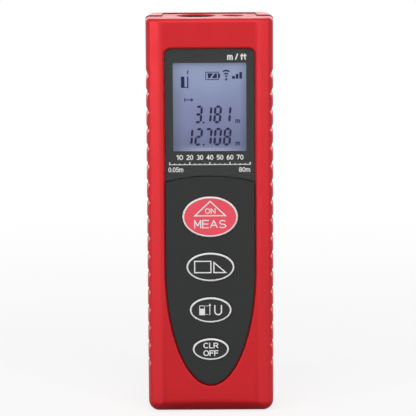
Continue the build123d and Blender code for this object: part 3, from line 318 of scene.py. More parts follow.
# Each letter has a width and its strokes, on a letter height of 1. Four numbers are a straight
# stroke from point to point, six are an arc: its centre, its two radii and its two angles.
LETTERS = {
    "A": (0.82, ((0, 0, 0.41, 1), (0.41, 1, 0.82, 0), (0.14, 0.33, 0.68, 0.33))),
    "C": (0.74, ((0.4, 0.5, 0.4, 0.5, 42, 318),)),
    "E": (0.66, ((0, 0, 0, 1), (0, 1, 0.66, 1), (0, 0.52, 0.6, 0.52), (0, 0, 0.66, 0))),
    "F": (0.56, ((0, 0, 0, 1), (0, 1, 0.56, 1), (0, 0.52, 0.49, 0.52))),
    "L": (0.5, ((0, 0, 0, 1), (0, 0, 0.5, 0))),
    "M": (0.7, ((0, 0, 0, 1), (0, 1, 0.35, 0.25), (0.35, 0.25, 0.7, 1), (0.7, 1, 0.7, 0))),
    "N": (0.7, ((0, 0, 0, 1), (0, 1, 0.7, 0), (0.7, 0, 0.7, 1))),
    "O": (0.8, ((0.4, 0.5, 0.4, 0.5, 0, 180), (0.4, 0.5, 0.4, 0.5, 180, 360))),
    "R": (0.66, ((0, 0, 0, 1), (0, 1, 0.38, 1), (0, 0.48, 0.38, 0.48),
                 (0.38, 0.74, 0.26, 0.26, -90, 90), (0.34, 0.48, 0.66, 0))),
    "S": (0.76, ((0.38, 0.74, 0.34, 0.26, 25, 270), (0.38, 0.24, 0.38, 0.24, 90, -155))),
    "U": (0.7, ((0, 1, 0, 0.35), (0.35, 0.35, 0.35, 0.35, 180, 360), (0.7, 0.35, 0.7, 1))),
    "f": (0.42, ((0.16, 0, 0.16, 0.78), (0.38, 0.78, 0.22, 0.22, 90, 180), (0, 0.7, 0.4, 0.7))),
    "m": (0.88, ((0, 0, 0, 0.72), (0.22, 0.5, 0.22, 0.22, 0, 180), (0.44, 0, 0.44, 0.5),
                 (0.66, 0.5, 0.22, 0.22, 0, 180), (0.88, 0, 0.88, 0.5))),
    "t": (0.38, ((0.14, 0.2, 0.14, 0.95), (0.34, 0.2, 0.2, 0.2, 180, 270), (0, 0.7, 0.36, 0.7))),
    "0": (0.56, ((0.28, 0.5, 0.28, 0.5, 0, 180), (0.28, 0.5, 0.28, 0.5, 180, 360))),
    "1": (0.3, ((0.26, 0, 0.26, 1), (0.26, 1, 0, 0.8))),
    "2": (0.56, ((0.28, 0.72, 0.26, 0.28, 165, -25), (0.51, 0.6, 0, 0), (0, 0, 0.56, 0))),
    "3": (0.56, ((0.27, 0.75, 0.25, 0.25, 150, -90), (0.27, 0.26, 0.28, 0.26, 90, -150))),
    "4": (0.6, ((0.42, 0, 0.42, 1), (0.42, 1, 0, 0.3), (0, 0.3, 0.6, 0.3))),
    "5": (0.56, ((0.5, 1, 0.1, 1), (0.1, 1, 0.04, 0.5), (0.26, 0.32, 0.29, 0.32, 135, -150))),
    "6": (0.56, ((0.28, 0.3, 0.27, 0.3, 0, 180), (0.28, 0.3, 0.27, 0.3, 180, 360),
                 (0.46, 0.36, 0.45, 0.64, 90, 180))),
    "7": (0.54, ((0, 1, 0.54, 1), (0.54, 1, 0.16, 0))),
    "8": (0.56, ((0.28, 0.76, 0.24, 0.24, 0, 180), (0.28, 0.76, 0.24, 0.24, 180, 360),
                 (0.28, 0.26, 0.28, 0.26, 0, 180), (0.28, 0.26, 0.28, 0.26, 180, 360))),
    "/": (0.42, ((0, -0.05, 0.42, 1.05),)),
    ".": (0.06, ((0.03, 0, 0.03, 0),)),
    " ": (0.2, ()),
}
# Gap between letters, in the same measure, and how far each stroke lies behind the last.
LETTER_GAP = 0.24
STROKE_STEP = 0.0005 * MM


def lettering(text, x, z, width, height, line, y):
    """Lettering of even strokes that fills a box, with its centre and size in millimetres.

    The strokes lie behind one another, so that no two share a plane where they cross.
    """
    natural = sum(LETTERS[letter][0] for letter in text) + LETTER_GAP * (len(text) - 1)
    wide, high = (width - line) / natural, height - line
    left, foot = x - (width - line) / 2, z - high / 2
    pieces = []
    for letter in text:
        advance, strokes = LETTERS[letter]
        for numbers in strokes:
            level = y + STROKE_STEP * len(pieces)
            if len(numbers) == 4:
                x0, z0, x1, z1 = numbers
                ends = (left + x0 * wide, foot + z0 * high, left + x1 * wide, foot + z1 * high)
                pieces.append(stroke(*ends, line, level))
            else:
                mid_x, mid_z, reach_x, reach_z, start, end = numbers
                centre = (left + mid_x * wide, foot + mid_z * high)
                reach = (reach_x * wide, reach_z * high)
                pieces.append(arc_band(*centre, *reach, line, start, end, level))
        left += (advance + LETTER_GAP) * wide
    return pieces


def ink(pieces, name, material, body, depth, slot):
    """Join flat marks into one print, give it thickness and a finish, and fix it to a body."""
    piece = join(pieces, name)
    apply_modifier(piece, "SOLIDIFY", thickness=depth, offset=-1, use_even_offset=False)
    edit(piece, lambda: bpy.ops.mesh.normals_make_consistent(inside=False))
    finish(piece, material)
    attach(piece, body)


def smooth_copy(node, name, material, body):
    """Merged copy of a CAD node with soft shading over its rounds, in place of the node."""
    piece = bpy.data.objects.new(name, frame["nodes"][node].data.copy())
    bpy.context.scene.collection.objects.link(piece)
    edit(
        piece,
        lambda: bpy.ops.mesh.remove_doubles(threshold=MERGE_DISTANCE),
        lambda: bpy.ops.mesh.dissolve_limited(angle_limit=FLAT_ANGLE, delimit={"SHARP"}),
    )
    bpy.ops.mesh.customdata_custom_splitnormals_clear()
    bpy.ops.object.shade_smooth_by_angle(angle=SMOOTH_ANGLE)
    apply_modifier(piece, "WEIGHTED_NORMAL", keep_sharp=True, weight=80)
    finish(piece, material)
    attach(piece, body)
    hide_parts(node)
    return piece


def move_corners(piece, chosen, offset):
    """Move the corners of a piece that pass a test."""
    take(piece)
    bpy.ops.object.mode_set(mode="EDIT")
    bpy.ops.mesh.select_mode(type="VERT")
    bpy.ops.mesh.select_all(action="DESELECT")
    bpy.ops.object.mode_set(mode="OBJECT")
    for vertex in piece.data.vertices:
        vertex.select = chosen(vertex.co)
    bpy.ops.object.mode_set(mode="EDIT")
    bpy.ops.transform.translate(value=offset)
    bpy.ops.object.mode_set(mode="OBJECT")


def finish(piece, material):
    """Give a piece one material."""
    piece.data.materials.clear()
    piece.data.materials.append(material)


def finish_node(node, material):
    """Give a CAD node one material."""
    finish(frame["nodes"][node], material)


# Node materials


class Finish:
    """Node material in the making: patterns are read in the object's own place."""

    def __init__(self, name, **sockets):
        self.material = bpy.data.materials.new(name)
        self.material.use_nodes = True
        self.tree = self.material.node_tree
        self.shader = self.tree.nodes["Principled BSDF"]
        self.place = self.add("ShaderNodeTexCoord").outputs["Object"]
        for socket, value in sockets.items():
            self.shader.inputs[socket.replace("_", " ")].default_value = value

    def add(self, kind, sockets=None, **settings):
        """Add a node, with its settings, and values or links for its sockets."""
        node = self.tree.nodes.new(kind)
        for name, value in settings.items():
            setattr(node, name, value)
        for socket, value in (sockets or {}).items():
            if isinstance(value, bpy.types.NodeSocket):
                self.tree.links.new(value, node.inputs[socket])
            else:
                node.inputs[socket].default_value = value
        return node

    def link(self, socket, value):
        """Drive a socket of the main shader."""
        self.tree.links.new(value, self.shader.inputs[socket])

    def mapped(self, scale=(1, 1, 1), centre=(0, 0, 0)):
        """Object place, moved to a centre and stretched."""
        moved = self.add("ShaderNodeVectorMath", {0: self.place, 1: centre}, operation="SUBTRACT")
        sockets = {0: moved.outputs[0], 1: scale}
        return self.add("ShaderNodeVectorMath", sockets, operation="MULTIPLY").outputs[0]

    def axis(self, name, centre=(0, 0, 0)):
        """One coordinate of the object place, from a centre."""
        return self.add("ShaderNodeSeparateXYZ", {0: self.mapped(centre=centre)}).outputs[name]

    def distance(self, vector):
        """Length of a vector."""
        return self.add("ShaderNodeVectorMath", {0: vector}, operation="LENGTH").outputs["Value"]

    def noise(self, scale, detail=3.0):
        """Cloudy value about 0.5."""
        sockets = {"Vector": self.place, "Scale": scale, "Detail": detail}
        return self.add("ShaderNodeTexNoise", sockets).outputs["Fac"]

    def cells(self, scale):
        """Distance to the nearest of scattered points."""
        sockets = {"Vector": self.place, "Scale": scale}
        return self.add("ShaderNodeTexVoronoi", sockets).outputs["Distance"]

    def stripes(self, scale, axis="X", distortion=0.0):
        """Parallel bands across one axis."""
        sockets = {"Vector": self.place, "Scale": scale, "Distortion": distortion}
        return self.add("ShaderNodeTexWave", sockets, bands_direction=axis).outputs["Fac"]

    def ramp(self, value, low, high, out_low=0.0, out_high=1.0, smooth=False):
        """Value rescaled between two limits and held at both ends."""
        sockets = {
            "Value": value,
            "From Min": low,
            "From Max": high,
            "To Min": out_low,
            "To Max": out_high,
        }
        kind = "SMOOTHSTEP" if smooth else "LINEAR"
        return self.add("ShaderNodeMapRange", sockets, interpolation_type=kind).outputs["Result"]

    def calc(self, operation, a, b=0.0):
        """One step of arithmetic."""
        return self.add("ShaderNodeMath", {0: a, 1: b}, operation=operation).outputs[0]

    def mix(self, factor, a, b, blend="MIX"):
        """Blend of two colours."""
        node = self.add("ShaderNodeMix", {0: factor}, data_type="RGBA", blend_type=blend)
        for index, value in ((6, a), (7, b)):
            if isinstance(value, bpy.types.NodeSocket):
                self.tree.links.new(value, node.inputs[index])
            else:
                node.inputs[index].default_value = (*value[:3], 1)
        return node.outputs[2]

    def colour(self, value):
        """Colour of the surface."""
        self.link("Base Color", value)

    def cloudy(self, base, spread, scale, detail=3.0):
        """Colour that wanders a little either side of its base."""
        dark = [c * (1 - spread) for c in base]
        light = [min(1, c * (1 + spread)) for c in base]
        return self.mix(self.ramp(self.noise(scale, detail), 0.3, 0.7), dark, light)

    def gloss(self, low, high, scale):
        """Roughness that wanders between two values."""
        self.link("Roughness", self.ramp(self.noise(scale, 4), 0.3, 0.7, low, high))

    def bump(self, height, distance, strength=1.0):
        """Relief of the surface, its depth in metres."""
        sockets = {"Height": height, "Distance": distance, "Strength": strength}
        self.link("Normal", self.add("ShaderNodeBump", sockets).outputs["Normal"])

    def mix_shaders(self, factor, a, b):
        """Blend of two shader nodes."""
        sockets = {0: factor, 1: a.outputs[0], 2: b.outputs[0]}
        return self.add("ShaderNodeMixShader", sockets)

    def surface(self, shader):
        """Show another shader node in place of the main shader."""
        output = self.tree.nodes["Material Output"]
        self.tree.links.new(shader.outputs[0], output.inputs["Surface"])
        self.tree.nodes.remove(self.shader)


def moulded(
    name, colour, spread=0.05, patch=70, gloss=(0.36, 0.44), grain=2600, depth=0.000006, **sockets
):
    """Moulded plastic or rubber: cloudy colour, uneven gloss and a fine grain.

    The colour wanders by spread in clouds of scale patch, and the depth of the grain is in metres.
    """
    made = Finish(name, **sockets)
    made.colour(made.cloudy(colour, spread, patch))
    made.gloss(*gloss, patch * 4)
    made.bump(made.noise(grain, 2), depth)
    return made.material


def foam_material(name, colour):
    """Coarse open foam of a gasket."""
    return moulded(
        name, colour, spread=0.3, patch=2500, gloss=(0.8, 0.95), grain=5000, depth=0.00006
    )


def painted_bore_shade(made, tone):
    """Tone with painted shade: darker inwards down the walls of the two window bores."""
    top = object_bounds()[1].z
    depth = made.ramp(made.axis("Z"), top - 0.95 * MM, top - 0.4 * MM, 1.0, 0.0, True)
    for name in ("receiver_window", "emitter_window"):
        low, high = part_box(name)
        bore = (high.x - low.x) / 2 - WINDOW_OVERLAP
        distance = made.distance(made.mapped((1, 1, 0), (low + high) / 2))
        inside = made.ramp(distance, bore + 0.02 * MM, bore + 0.08 * MM, 1.0, 0.0)
        # Painted shade: the bore walls turn dark red-black with depth below the top.
        tone = made.mix(made.calc("MULTIPLY", inside, depth), tone, (0.03, 0.002, 0.002))
    return tone


def opening_painted_shade(made, tone):
    """Tone with painted shade: near black on the walls of the display opening, which lie in shade
    inside the recess.
    """
    gasket_low, gasket_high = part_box("display_gasket")
    low = Vector((-DISPLAY_OPENING_REACH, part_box("display_mask")[1].y - 0.02 * MM, gasket_low.z))
    high = Vector((DISPLAY_OPENING_REACH, gasket_low.y + 0.1 * MM, gasket_high.z))
    inside = 1.0
    for name, half in zip("XYZ", (high - low) / 2):
        off_middle = made.calc("ABSOLUTE", made.axis(name, (low + high) / 2))
        within = made.ramp(off_middle, half, half + 0.05 * MM, 1.0, 0.0)
        inside = made.calc("MULTIPLY", inside, within)
    # Painted shade: near black inside the display opening.
    return made.mix(inside, tone, (0.008, 0.008, 0.008))


def shell_plastic(colour):
    """Satin red plastic, with painted shade down the two window bores and on the walls of the
    display opening.
    """
    shine = (0.94, 0.94, 0.98, 1)
    made = Finish("red_plastic", Metallic=0.4, Specular_IOR_Level=0.4, Specular_Tint=shine)
    # Painted shade darkens the bore walls and the walls of the display opening.
    tone = painted_bore_shade(made, made.cloudy(colour, 0.035, 45))
    made.colour(opening_painted_shade(made, tone))
    made.gloss(0.38, 0.46, 180)
    made.bump(made.noise(2600, 2), 0.000006)
    return made.material


def metal(name, colour, gloss, axis, scale):
    """Metal with fine turned or brushed lines across one axis."""
    made = Finish(name, Metallic=1.0)
    made.colour(made.cloudy(colour, 0.08, 300))
    made.gloss(*gloss, 600)
    lines = made.stripes(scale, axis, 2.0)
    made.bump(made.calc("ADD", lines, made.noise(3000, 2)), 0.000004)
    return made.material


def printed_ink(name, colour, shine=0.3):
    """Screen-printed ink: nearly even, with a trace of mesh texture."""
    made = Finish(name, Specular_IOR_Level=shine)
    made.colour(made.cloudy(colour, 0.04, 900))
    made.gloss(0.45, 0.6, 1500)
    made.bump(made.noise(6000, 1), 0.000002)
    return made.material


def clear_pane(name, colour, gloss):
    """Clear hard pane: seen through, with the gloss of its front face."""
    made = Finish(name)
    wear = made.ramp(made.noise(500, 3), 0.35, 0.65, gloss, gloss + 0.03)
    through = made.add("ShaderNodeBsdfTransparent", {"Color": made.cloudy(colour, 0.01, 200)})
    shine = made.add("ShaderNodeBsdfGlossy", {"Roughness": wear})
    outside = made.calc("SUBTRACT", 1.0, made.add("ShaderNodeNewGeometry").outputs["Backfacing"])
    fresnel = made.add("ShaderNodeFresnel", {"IOR": 1.45}).outputs[0]
    made.surface(made.mix_shaders(made.calc("MULTIPLY", fresnel, outside), through, shine))
    return made.material


def body_glass(name, colour):
    """Solid glass or filter plastic of an optical piece."""
    made = Finish(name, Transmission_Weight=0.92, IOR=1.5)
    made.colour(made.cloudy(colour, 0.03, 300))
    made.gloss(0.03, 0.06, 800)
    made.bump(made.noise(900, 2), 0.000001)
    return made.material


# Case


def foot_lip(material):
    """Thin lip that closes the seam between the halves across the foot."""
    gap = 0.2 * MM
    foot_z, head_z = 0.15 * MM, 1.75 * MM
    corner_room = 3.5 * MM
    parting_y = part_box("end_seal")[0].y
    low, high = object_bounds()
    bpy.ops.object.select_all(action="DESELECT")
    middle = (0, parting_y + gap / 2, low.z + (foot_z + head_z) / 2)
    bpy.ops.mesh.primitive_cube_add(size=1, location=middle)
    piece = bpy.context.object
    piece.name = "foot_seam_lip"
    piece.scale = (2 * (high.x - corner_room), gap, head_z - foot_z)
    settle(piece)
    apply_modifier(piece, "BEVEL", width=0.06 * MM, segments=2)
    finish(piece, material)
    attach(piece, "housing")


class METER_OT_shells(bpy.types.Operator):
    """Smooth the two case halves and give them satin red plastic."""

    bl_idname = "meter.shells"
    bl_label = "Case halves"

    def execute(self, context):
        colours = context.scene.meter_colours
        plastic = shell_plastic(colours.shell)
        smooth_copy("front_shell", "front_case_half", plastic, "housing")
        smooth_copy("back_shell", "back_case_half", plastic, "housing")
        smooth_copy("battery_door", "battery_cover", plastic, "door")
        foot_lip(plastic)
        # The end seal's black rubber is partly a real seal and partly painted shadow: it stands in
        # for the dark shadow line of the seam at the top end.
        seal = (0.014, 0.014, 0.015)
        rubber = moulded(
            "seal_shadow_rubber", seal, spread=0.2, patch=300, gloss=(0.55, 0.68), grain=2600,
            depth=0.00001,
        )
        finish_node("end_seal", rubber)
        return {"FINISHED"}


class METER_OT_panel(bpy.types.Operator):
    """Smooth the keypad panel and give it matt dark plastic."""

    bl_idname = "meter.panel"
    bl_label = "Keypad panel"

    def execute(self, context):
        colour = context.scene.meter_colours.panel
        plastic = moulded(
            "dark_plastic", colour, spread=0.1, patch=60, gloss=(0.42, 0.5), grain=3200,
            depth=0.000005, Specular_IOR_Level=0.36,
        )
        smooth_copy("keypad_panel", "keypad_surround", plastic, "housing")
        return {"FINISHED"}


# Display


def scale_marks(y):
    """Ruled line with ticks and end values, the tens above it and the units over the display."""
    pieces = [bar(-SCALE_REACH, SCALE_Z, SCALE_REACH, SCALE_Z + 0.22, y)]
    half_low, half_tall = 0.13, 0.15
    low_tick = bar(-half_low, SCALE_Z, half_low, SCALE_Z + 0.46, y + STROKE_STEP)
    tall_tick = bar(-half_tall, SCALE_Z, half_tall, SCALE_Z + 0.85, y + STROKE_STEP)
    end_tick = SCALE_REACH - half_tall
    steps, steps_to_tall = 16, 4
    for index in range(steps + 1):
        tick = low_tick if index % steps_to_tall else tall_tick
        pieces.append(copied(tick, end_tick * (2 * index / steps - 1), 0))
    bpy.data.objects.remove(low_tick)
    bpy.data.objects.remove(tall_tick)
    for tens in range(1, 8):
        pieces += lettering(f"{tens}0", end_tick * (tens / 4 - 1), 76.8, 2.05, 1.5, 0.27, y)
    pieces += lettering("0.05m", -10.07, 73.15, 4.4, 1.45, 0.22, y)
    pieces += lettering("80m", 10.2, 73.15, 3.3, 1.45, 0.22, y)
    pieces += lettering("m / ft", 8.05, 106.45, 5.7, 1.9, 0.38, y)
    return pieces


def seam_shade_tape():
    """Black tape along the arched seam between the lens and the keypad panel, partly a real tape
    and partly painted shade: it makes the gap of the seam read dark.
    """
    lens_low, lens_high = (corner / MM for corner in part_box("display_lens"))
    apex_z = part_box("keypad_panel")[1].z / MM
    rise = apex_z - lens_low.z
    reach = lens_high.x
    radius = (reach**2 + rise**2) / (2 * rise)
    half_turn = math.degrees(math.asin(reach / radius))
    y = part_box("display_mask")[1].y - 0.03 * MM
    width, steps = 0.9, 40
    start, end = 90 - half_turn, 90 + half_turn
    return arc_band(0, apex_z - radius, radius, radius, width, start, end, y, steps)


class METER_OT_window(bpy.types.Operator):
    """Give the display window its clear lens, dark film and white scale."""

    bl_idname = "meter.window"
    bl_label = "Display window"

    def execute(self, context):
        colours = context.scene.meter_colours
        sizes = context.scene.meter_sizes
        acrylic = clear_pane("lens_acrylic", (0.985, 0.985, 0.985), 0.06)
        lens = smooth_copy("display_lens", "window_lens", acrylic, "housing")
        back_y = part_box("display_lens")[1].y - sizes.film_gap / 2
        move_corners(lens, lambda place: place.y > back_y, (0, -sizes.film_gap, 0))
        film = moulded(
            "printed_film", colours.film, spread=0.06, patch=120, gloss=(0.4, 0.5), grain=2000,
            depth=0.000002, Specular_IOR_Level=0.2,
        )
        finish_node("display_mask", film)
        finish_node("display_gasket", foam_material("black_foam", (0.02, 0.02, 0.02)))
        marks = scale_marks(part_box("display_mask")[0].y - sizes.ink_proud)
        white = printed_ink("white_ink", colours.ink)
        depth = sizes.ink_depth
        ink(marks, "window_scale_print", white, "housing", depth, "printed_film")
        # Painted shade: black tape darkens the seam between the lens and the keypad panel.
        ink([seam_shade_tape()], "seam_shade_tape", film, "housing", depth, "printed_film")
        return {"FINISHED"}


SEGMENTS = {"0": "abcdef", "1": "bc", "2": "abged", "3": "abgcd", "7": "abc", "8": "abcdefg"}


def leaning_bar(span, half, standing, lean, y):
    """Bar with pointed ends about the middle, lying or standing, that leans like the digits."""
    tip, shoulder = span / 2, span / 2 - half
    points = [
        (-tip, 0), (-shoulder, -half), (shoulder, -half),
        (tip, 0), (shoulder, half), (-shoulder, half),
    ]
    if standing:
        points = [(-z, x) for x, z in points]
    return tile([(x + z * lean, z) for x, z in points], y)


def readings(rows, right, y, sizes):
    """Rows of seven-segment digits that end at the right, with decimal points and units."""
    width, height = sizes.digit_width / MM, sizes.digit_height / MM
    half = sizes.digit_stroke / MM / 2
    lean = math.tan(sizes.digit_slant)
    gap = 0.09
    half_dot, dot_height = 0.27, 0.5
    reach_x, reach_z = width / 2 - half, height / 2 - half
    lying = leaning_bar(2 * (reach_x - gap), half, False, lean, y)
    standing = leaning_bar(reach_z - 2 * gap, half, True, lean, y)
    places = {
        "a": (lying, 0, reach_z), "g": (lying, 0, 0), "d": (lying, 0, -reach_z),
        "b": (standing, reach_x, reach_z / 2), "c": (standing, reach_x, -reach_z / 2),
        "f": (standing, -reach_x, reach_z / 2), "e": (standing, -reach_x, -reach_z / 2),
    }
    pieces = []
    for text, foot in rows:
        centre = right - width / 2
        for letter in reversed(text):
            if letter == ".":
                dot = centre + width / 2 + 0.3
                pieces.append(bar(dot - half_dot, foot, dot + half_dot, foot + dot_height, y))
                continue
            for name in SEGMENTS[letter]:
                shape, x, z = places[name]
                pieces.append(copied(shape, centre + x + z * lean, foot + height / 2 + z))
            centre -= sizes.digit_pitch / MM
        pieces += lettering("m", right + 1.95, foot + 0.75, 1.35, 1.45, 0.3, y)
    bpy.data.objects.remove(lying)
    bpy.data.objects.remove(standing)
    return pieces


def display_icons(y):
    """Icons of the display: reference edge, cell, laser, signal and distance arrow."""
    reference_edge = [
        bar(-8.4, 97.15, -7.35, 100.5, y),
        bar(-7.35, 97.15, -6.2, 97.4, y),
        bar(-6.6, 97.15, -6.2, 100.5, y),
        tile([(-6.68, 101.25), (-6.3, 101.25), (-6.12, 102.5), (-6.5, 102.1)], y),
    ]
    cell = [
        outline(bar(-1.2, 99.45, 2.7, 101.85, y), 0.22 * MM),
        bar(2.7, 100.05, 3.1, 101.25, y),
        tile([(-0.4, 99.95), (0.1, 99.95), (1.1, 101.4), (-0.6, 101.4)], y),
        tile([(0.6, 99.95), (2.2, 99.95), (2.2, 101.4), (1.6, 101.4)], y),
    ]
    beam_x = 4.9
    laser = [
        arc_band(beam_x, 100.7, 1.5, 1.5, 0.46, 50, 130, y),
        arc_band(beam_x, 100.6, 0.75, 0.75, 0.44, 45, 135, y),
        spot(beam_x, 100.55, 0.3, y),
        spot(beam_x, 99.62, 0.34, y),
    ]
    signal = []
    for index in range(3):
        left, top = 6.65 + 1.06 * index, 100.62 + 0.58 * index
        signal.append(bar(left, 99.78, left + 0.8, top, y))
    arrow = [
        bar(-7.45, 93.05, -7.17, 94.15, y),
        bar(-7.2, 93.46, -5.2, 93.74, y),
        tile([(-5.6, 92.95), (-4.7, 93.6), (-5.6, 94.25), (-5.35, 93.6)], y),
    ]
    return reference_edge + cell + laser + signal + arrow


def lcd_painted_light(colours):
    """Display glass with painted light: blue-grey, painted lighter at its top and darker towards
    its foot, paler near the middle of its foot, and a faint glow that stands partly for the
    backlight and is partly painted light.
    """
    made = Finish("lcd_film", Specular_IOR_Level=0.3)
    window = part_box("display_gasket")
    height = made.axis("Z")
    low, high = window[0].z, window[1].z
    middle = (low + high) / 2
    # Painted light: the tone runs from light at the top to dark at the foot.
    lower = made.mix(made.ramp(height, low, middle), colours.lcd_foot, colours.lcd_middle)
    tone = made.mix(made.ramp(height, middle, high), lower, colours.lcd_top)
    cloud = made.ramp(made.noise(110, 2), 0.3, 0.7, 0.94, 1.06)
    grey_cloud = made.add("ShaderNodeCombineColor", {0: cloud, 1: cloud, 2: cloud}).outputs[0]
    tone = made.mix(1.0, tone, grey_cloud, "MULTIPLY")
    # A pale patch near the middle of the foot.
    across = made.calc("ABSOLUTE", made.axis("X"))
    near_foot = made.ramp(height, low, low + 3.2 * MM, 1.0, 0.0, True)
    near_middle = made.ramp(across, 2 * MM, 11 * MM, 0.6, 0.12, True)
    tone = made.mix(made.calc("MULTIPLY", near_foot, near_middle), tone, (0.6, 0.65, 0.8))
    made.colour(tone)
    # The glow stands partly for the backlight and is partly painted light.
    made.link("Emission Color", tone)
    made.shader.inputs["Emission Strength"].default_value = 0.38
    made.gloss(0.3, 0.4, 700)
    made.bump(made.cells(5000), 0.000001)
    return made.material


class METER_OT_display(bpy.types.Operator):
    """Light the display, draw its segments and icons, and finish the pieces that carry it."""

    bl_idname = "meter.display"
    bl_label = "Display"

    def execute(self, context):
        colours = context.scene.meter_colours
        sizes = context.scene.meter_sizes
        finish_node("lcd_glass", lcd_painted_light(colours))
        marks_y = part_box("lcd_glass")[0].y - sizes.ink_proud
        marks = display_icons(marks_y) + readings(READINGS, READINGS_END, marks_y, sizes)
        segment = printed_ink("segment_ink", colours.segment, 0.1)
        ink(marks, "display_segments", segment, "housing", sizes.ink_depth / 2, "display_glass")
        pale = (0.8, 0.82, 0.85)
        guide = moulded(
            "light_guide_acrylic", pale, spread=0.04, patch=400, gloss=(0.15, 0.25), grain=3500,
            depth=0.00001, Subsurface_Weight=0.2,
        )
        finish_node("backlight", guide)
        cream = (0.72, 0.72, 0.7)
        white = moulded("white_frame_plastic", cream, spread=0.04, patch=90, gloss=(0.4, 0.5))
        finish_node("lcd_frame", white)
        finish_node("lcd_connector", striped_rubber())
        return {"FINISHED"}


def striped_rubber():
    """Rubber strip of fine conducting and insulating layers."""
    made = Finish("layered_rubber")
    band = made.ramp(made.stripes(1600, "X"), 0.4, 0.6)
    made.colour(made.mix(band, (0.6, 0.55, 0.5), (0.03, 0.03, 0.03)))
    made.gloss(0.55, 0.7, 2.4)
    made.bump(band, 0.00001)
    return made.material


# Keys


def oval_band(name, centre_z, rows):
    """Band round an oval, from rows of half-width, half-height and depth, in metres."""
    bpy.ops.object.select_all(action="DESELECT")
    start = (0, rows[0][2], centre_z)
    bpy.ops.mesh.primitive_circle_add(
        vertices=128, radius=1, fill_type="NOTHING", location=start, rotation=(math.pi / 2, 0, 0)
    )
    piece = bpy.context.object
    piece.scale = (rows[0][0], rows[0][1], 1)
    settle(piece)
    take(piece)
    bpy.ops.object.mode_set(mode="EDIT")
    bpy.ops.mesh.select_all(action="SELECT")
    before = rows[0]
    for row in rows[1:]:
        bpy.ops.mesh.extrude_region()
        centre = (0, before[2], centre_z)
        ratio = (row[0] / before[0], 1, row[1] / before[1])
        bpy.ops.transform.resize(value=ratio, center_override=centre)
        bpy.ops.transform.translate(value=(0, row[2] - before[2], 0))
        before = row
    bpy.ops.mesh.select_all(action="SELECT")
    bpy.ops.mesh.normals_make_consistent(inside=False)
    bpy.ops.object.mode_set(mode="OBJECT")
    piece.name = name
    bpy.ops.object.shade_smooth()
    return piece


def key_ring(name, sizes, material):
    """White ring that follows the rounded edge of a key's crown."""
    low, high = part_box("key_" + name)
    centre_z = (low.z + high.z) / 2
    half_width = (high.x - low.x) / 2 - KEY_FLANGE
    half_height = (high.z - low.z) / 2 - KEY_FLANGE
    proud = sizes.ink_proud
    face_y = low.y + sizes.key_sink

    def row(inset, y):
        return (half_width - inset, half_height - inset, y)

    rows = [row(sizes.ring_width, face_y + proud), row(sizes.ring_width, face_y - proud)]
    steps = 6
    for index in range(steps + 1):
        angle = math.pi / 2 * index / steps
        reach = (KEY_EDGE_ROUND + proud) * math.sin(angle)
        drop = KEY_EDGE_ROUND - (KEY_EDGE_ROUND + proud) * math.cos(angle)
        rows.append(row(KEY_EDGE_ROUND - reach, face_y + drop))
    rows.append(row(proud, face_y + KEY_EDGE_ROUND))
    piece = oval_band("key_ring_" + name, centre_z, rows)
    finish(piece, material)
    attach(piece, name + "_key")


class METER_OT_keys(bpy.types.Operator):
    """Smooth the four rubber keys and print a ring round each."""

    bl_idname = "meter.keys"
    bl_label = "Keys and rings"

    def execute(self, context):
        colours = context.scene.meter_colours
        sizes = context.scene.meter_sizes
        relief = dict(patch=130, grain=2400, depth=0.000004)
        red = moulded("red_rubber", colours.red_key, spread=0.03, gloss=(0.4, 0.5), **relief)
        dark = moulded(
            "dark_rubber", colours.dark_key, spread=0.1, gloss=(0.42, 0.52), **relief,
            Specular_IOR_Level=0.36,
        )
        white = printed_ink("ring_ink", colours.ink)
        for name in KEYS:
            rubber, slot = (red, "red_key") if name == "measure" else (dark, "dark_key")
            cap = smooth_copy("key_" + name, "keycap_" + name, rubber, name + "_key")
            crown_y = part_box("key_" + name)[0].y + 1.01 * KEY_EDGE_ROUND
            move_corners(cap, lambda place: place.y < crown_y, (0, sizes.key_sink, 0))
            key_ring(name, sizes, white)
        return {"FINISHED"}


def measure_legend(y, z, sizes):
    """Triangle round the word for switching on, over the word for measuring."""
    triangle = tile([(-4.95, z + 0.2), (4.95, z + 0.2), (0, z + 4.9)], y)
    pieces = [outline(triangle, sizes.line_width)]
    pieces += lettering("ON", 0, z + 1.8, 3.15, 1.6, 0.26, y)
    return pieces + lettering("MEAS", 0, z - 2.13, 9.5, 2.5, 0.32, y)


def area_legend(y, z, sizes):
    """Rectangle for areas and a right triangle for indirect heights."""
    line = sizes.line_width
    return [
        outline(bar(-4.85, z - 1.8, 0.3, z + 1.95, y), line),
        outline(tile([(0.85, z - 1.8), (4.95, z - 1.8), (0.85, z + 1.8)], y), line),
    ]


def reference_legend(y, z, sizes):
    """Small meter with its measuring edges and arrow, and a letter for units."""
    head = [
        (-3.4, z + 0.25), (-1.7, z + 0.25), (-1.7, z + 1.2),
        (-1.9, z + 1.4), (-3.2, z + 1.4), (-3.4, z + 1.2),
    ]
    pieces = [
        bar(-3.4, z - 1.5, -1.7, z + 0.25, y),
        outline(tile(head, y), 0.2 * MM),
        bar(-0.36, z - 1.5, -0.14, z + 1.3, y),
        tile([(-0.65, z + 1.3), (0.15, z + 1.3), (-0.25, z + 2.05)], y),
    ]
    pieces += lettering("U", 2.2, z, 2.35, 3.1, 0.38, y)
    for x in (-1.35, -0.85):
        for level in (z - 1.4, z + 1.2):
            pieces.append(bar(x - 0.13, level, x + 0.13, level + 0.2, y))
    return pieces


def clear_legend(y, z, sizes):
    """Words for clearing and switching off."""
    upper = lettering("CLR", 0, z + 1.18, 4.5, 1.74, 0.3, y)
    return upper + lettering("OFF", 0, z - 1.14, 4.5, 1.74, 0.3, y)


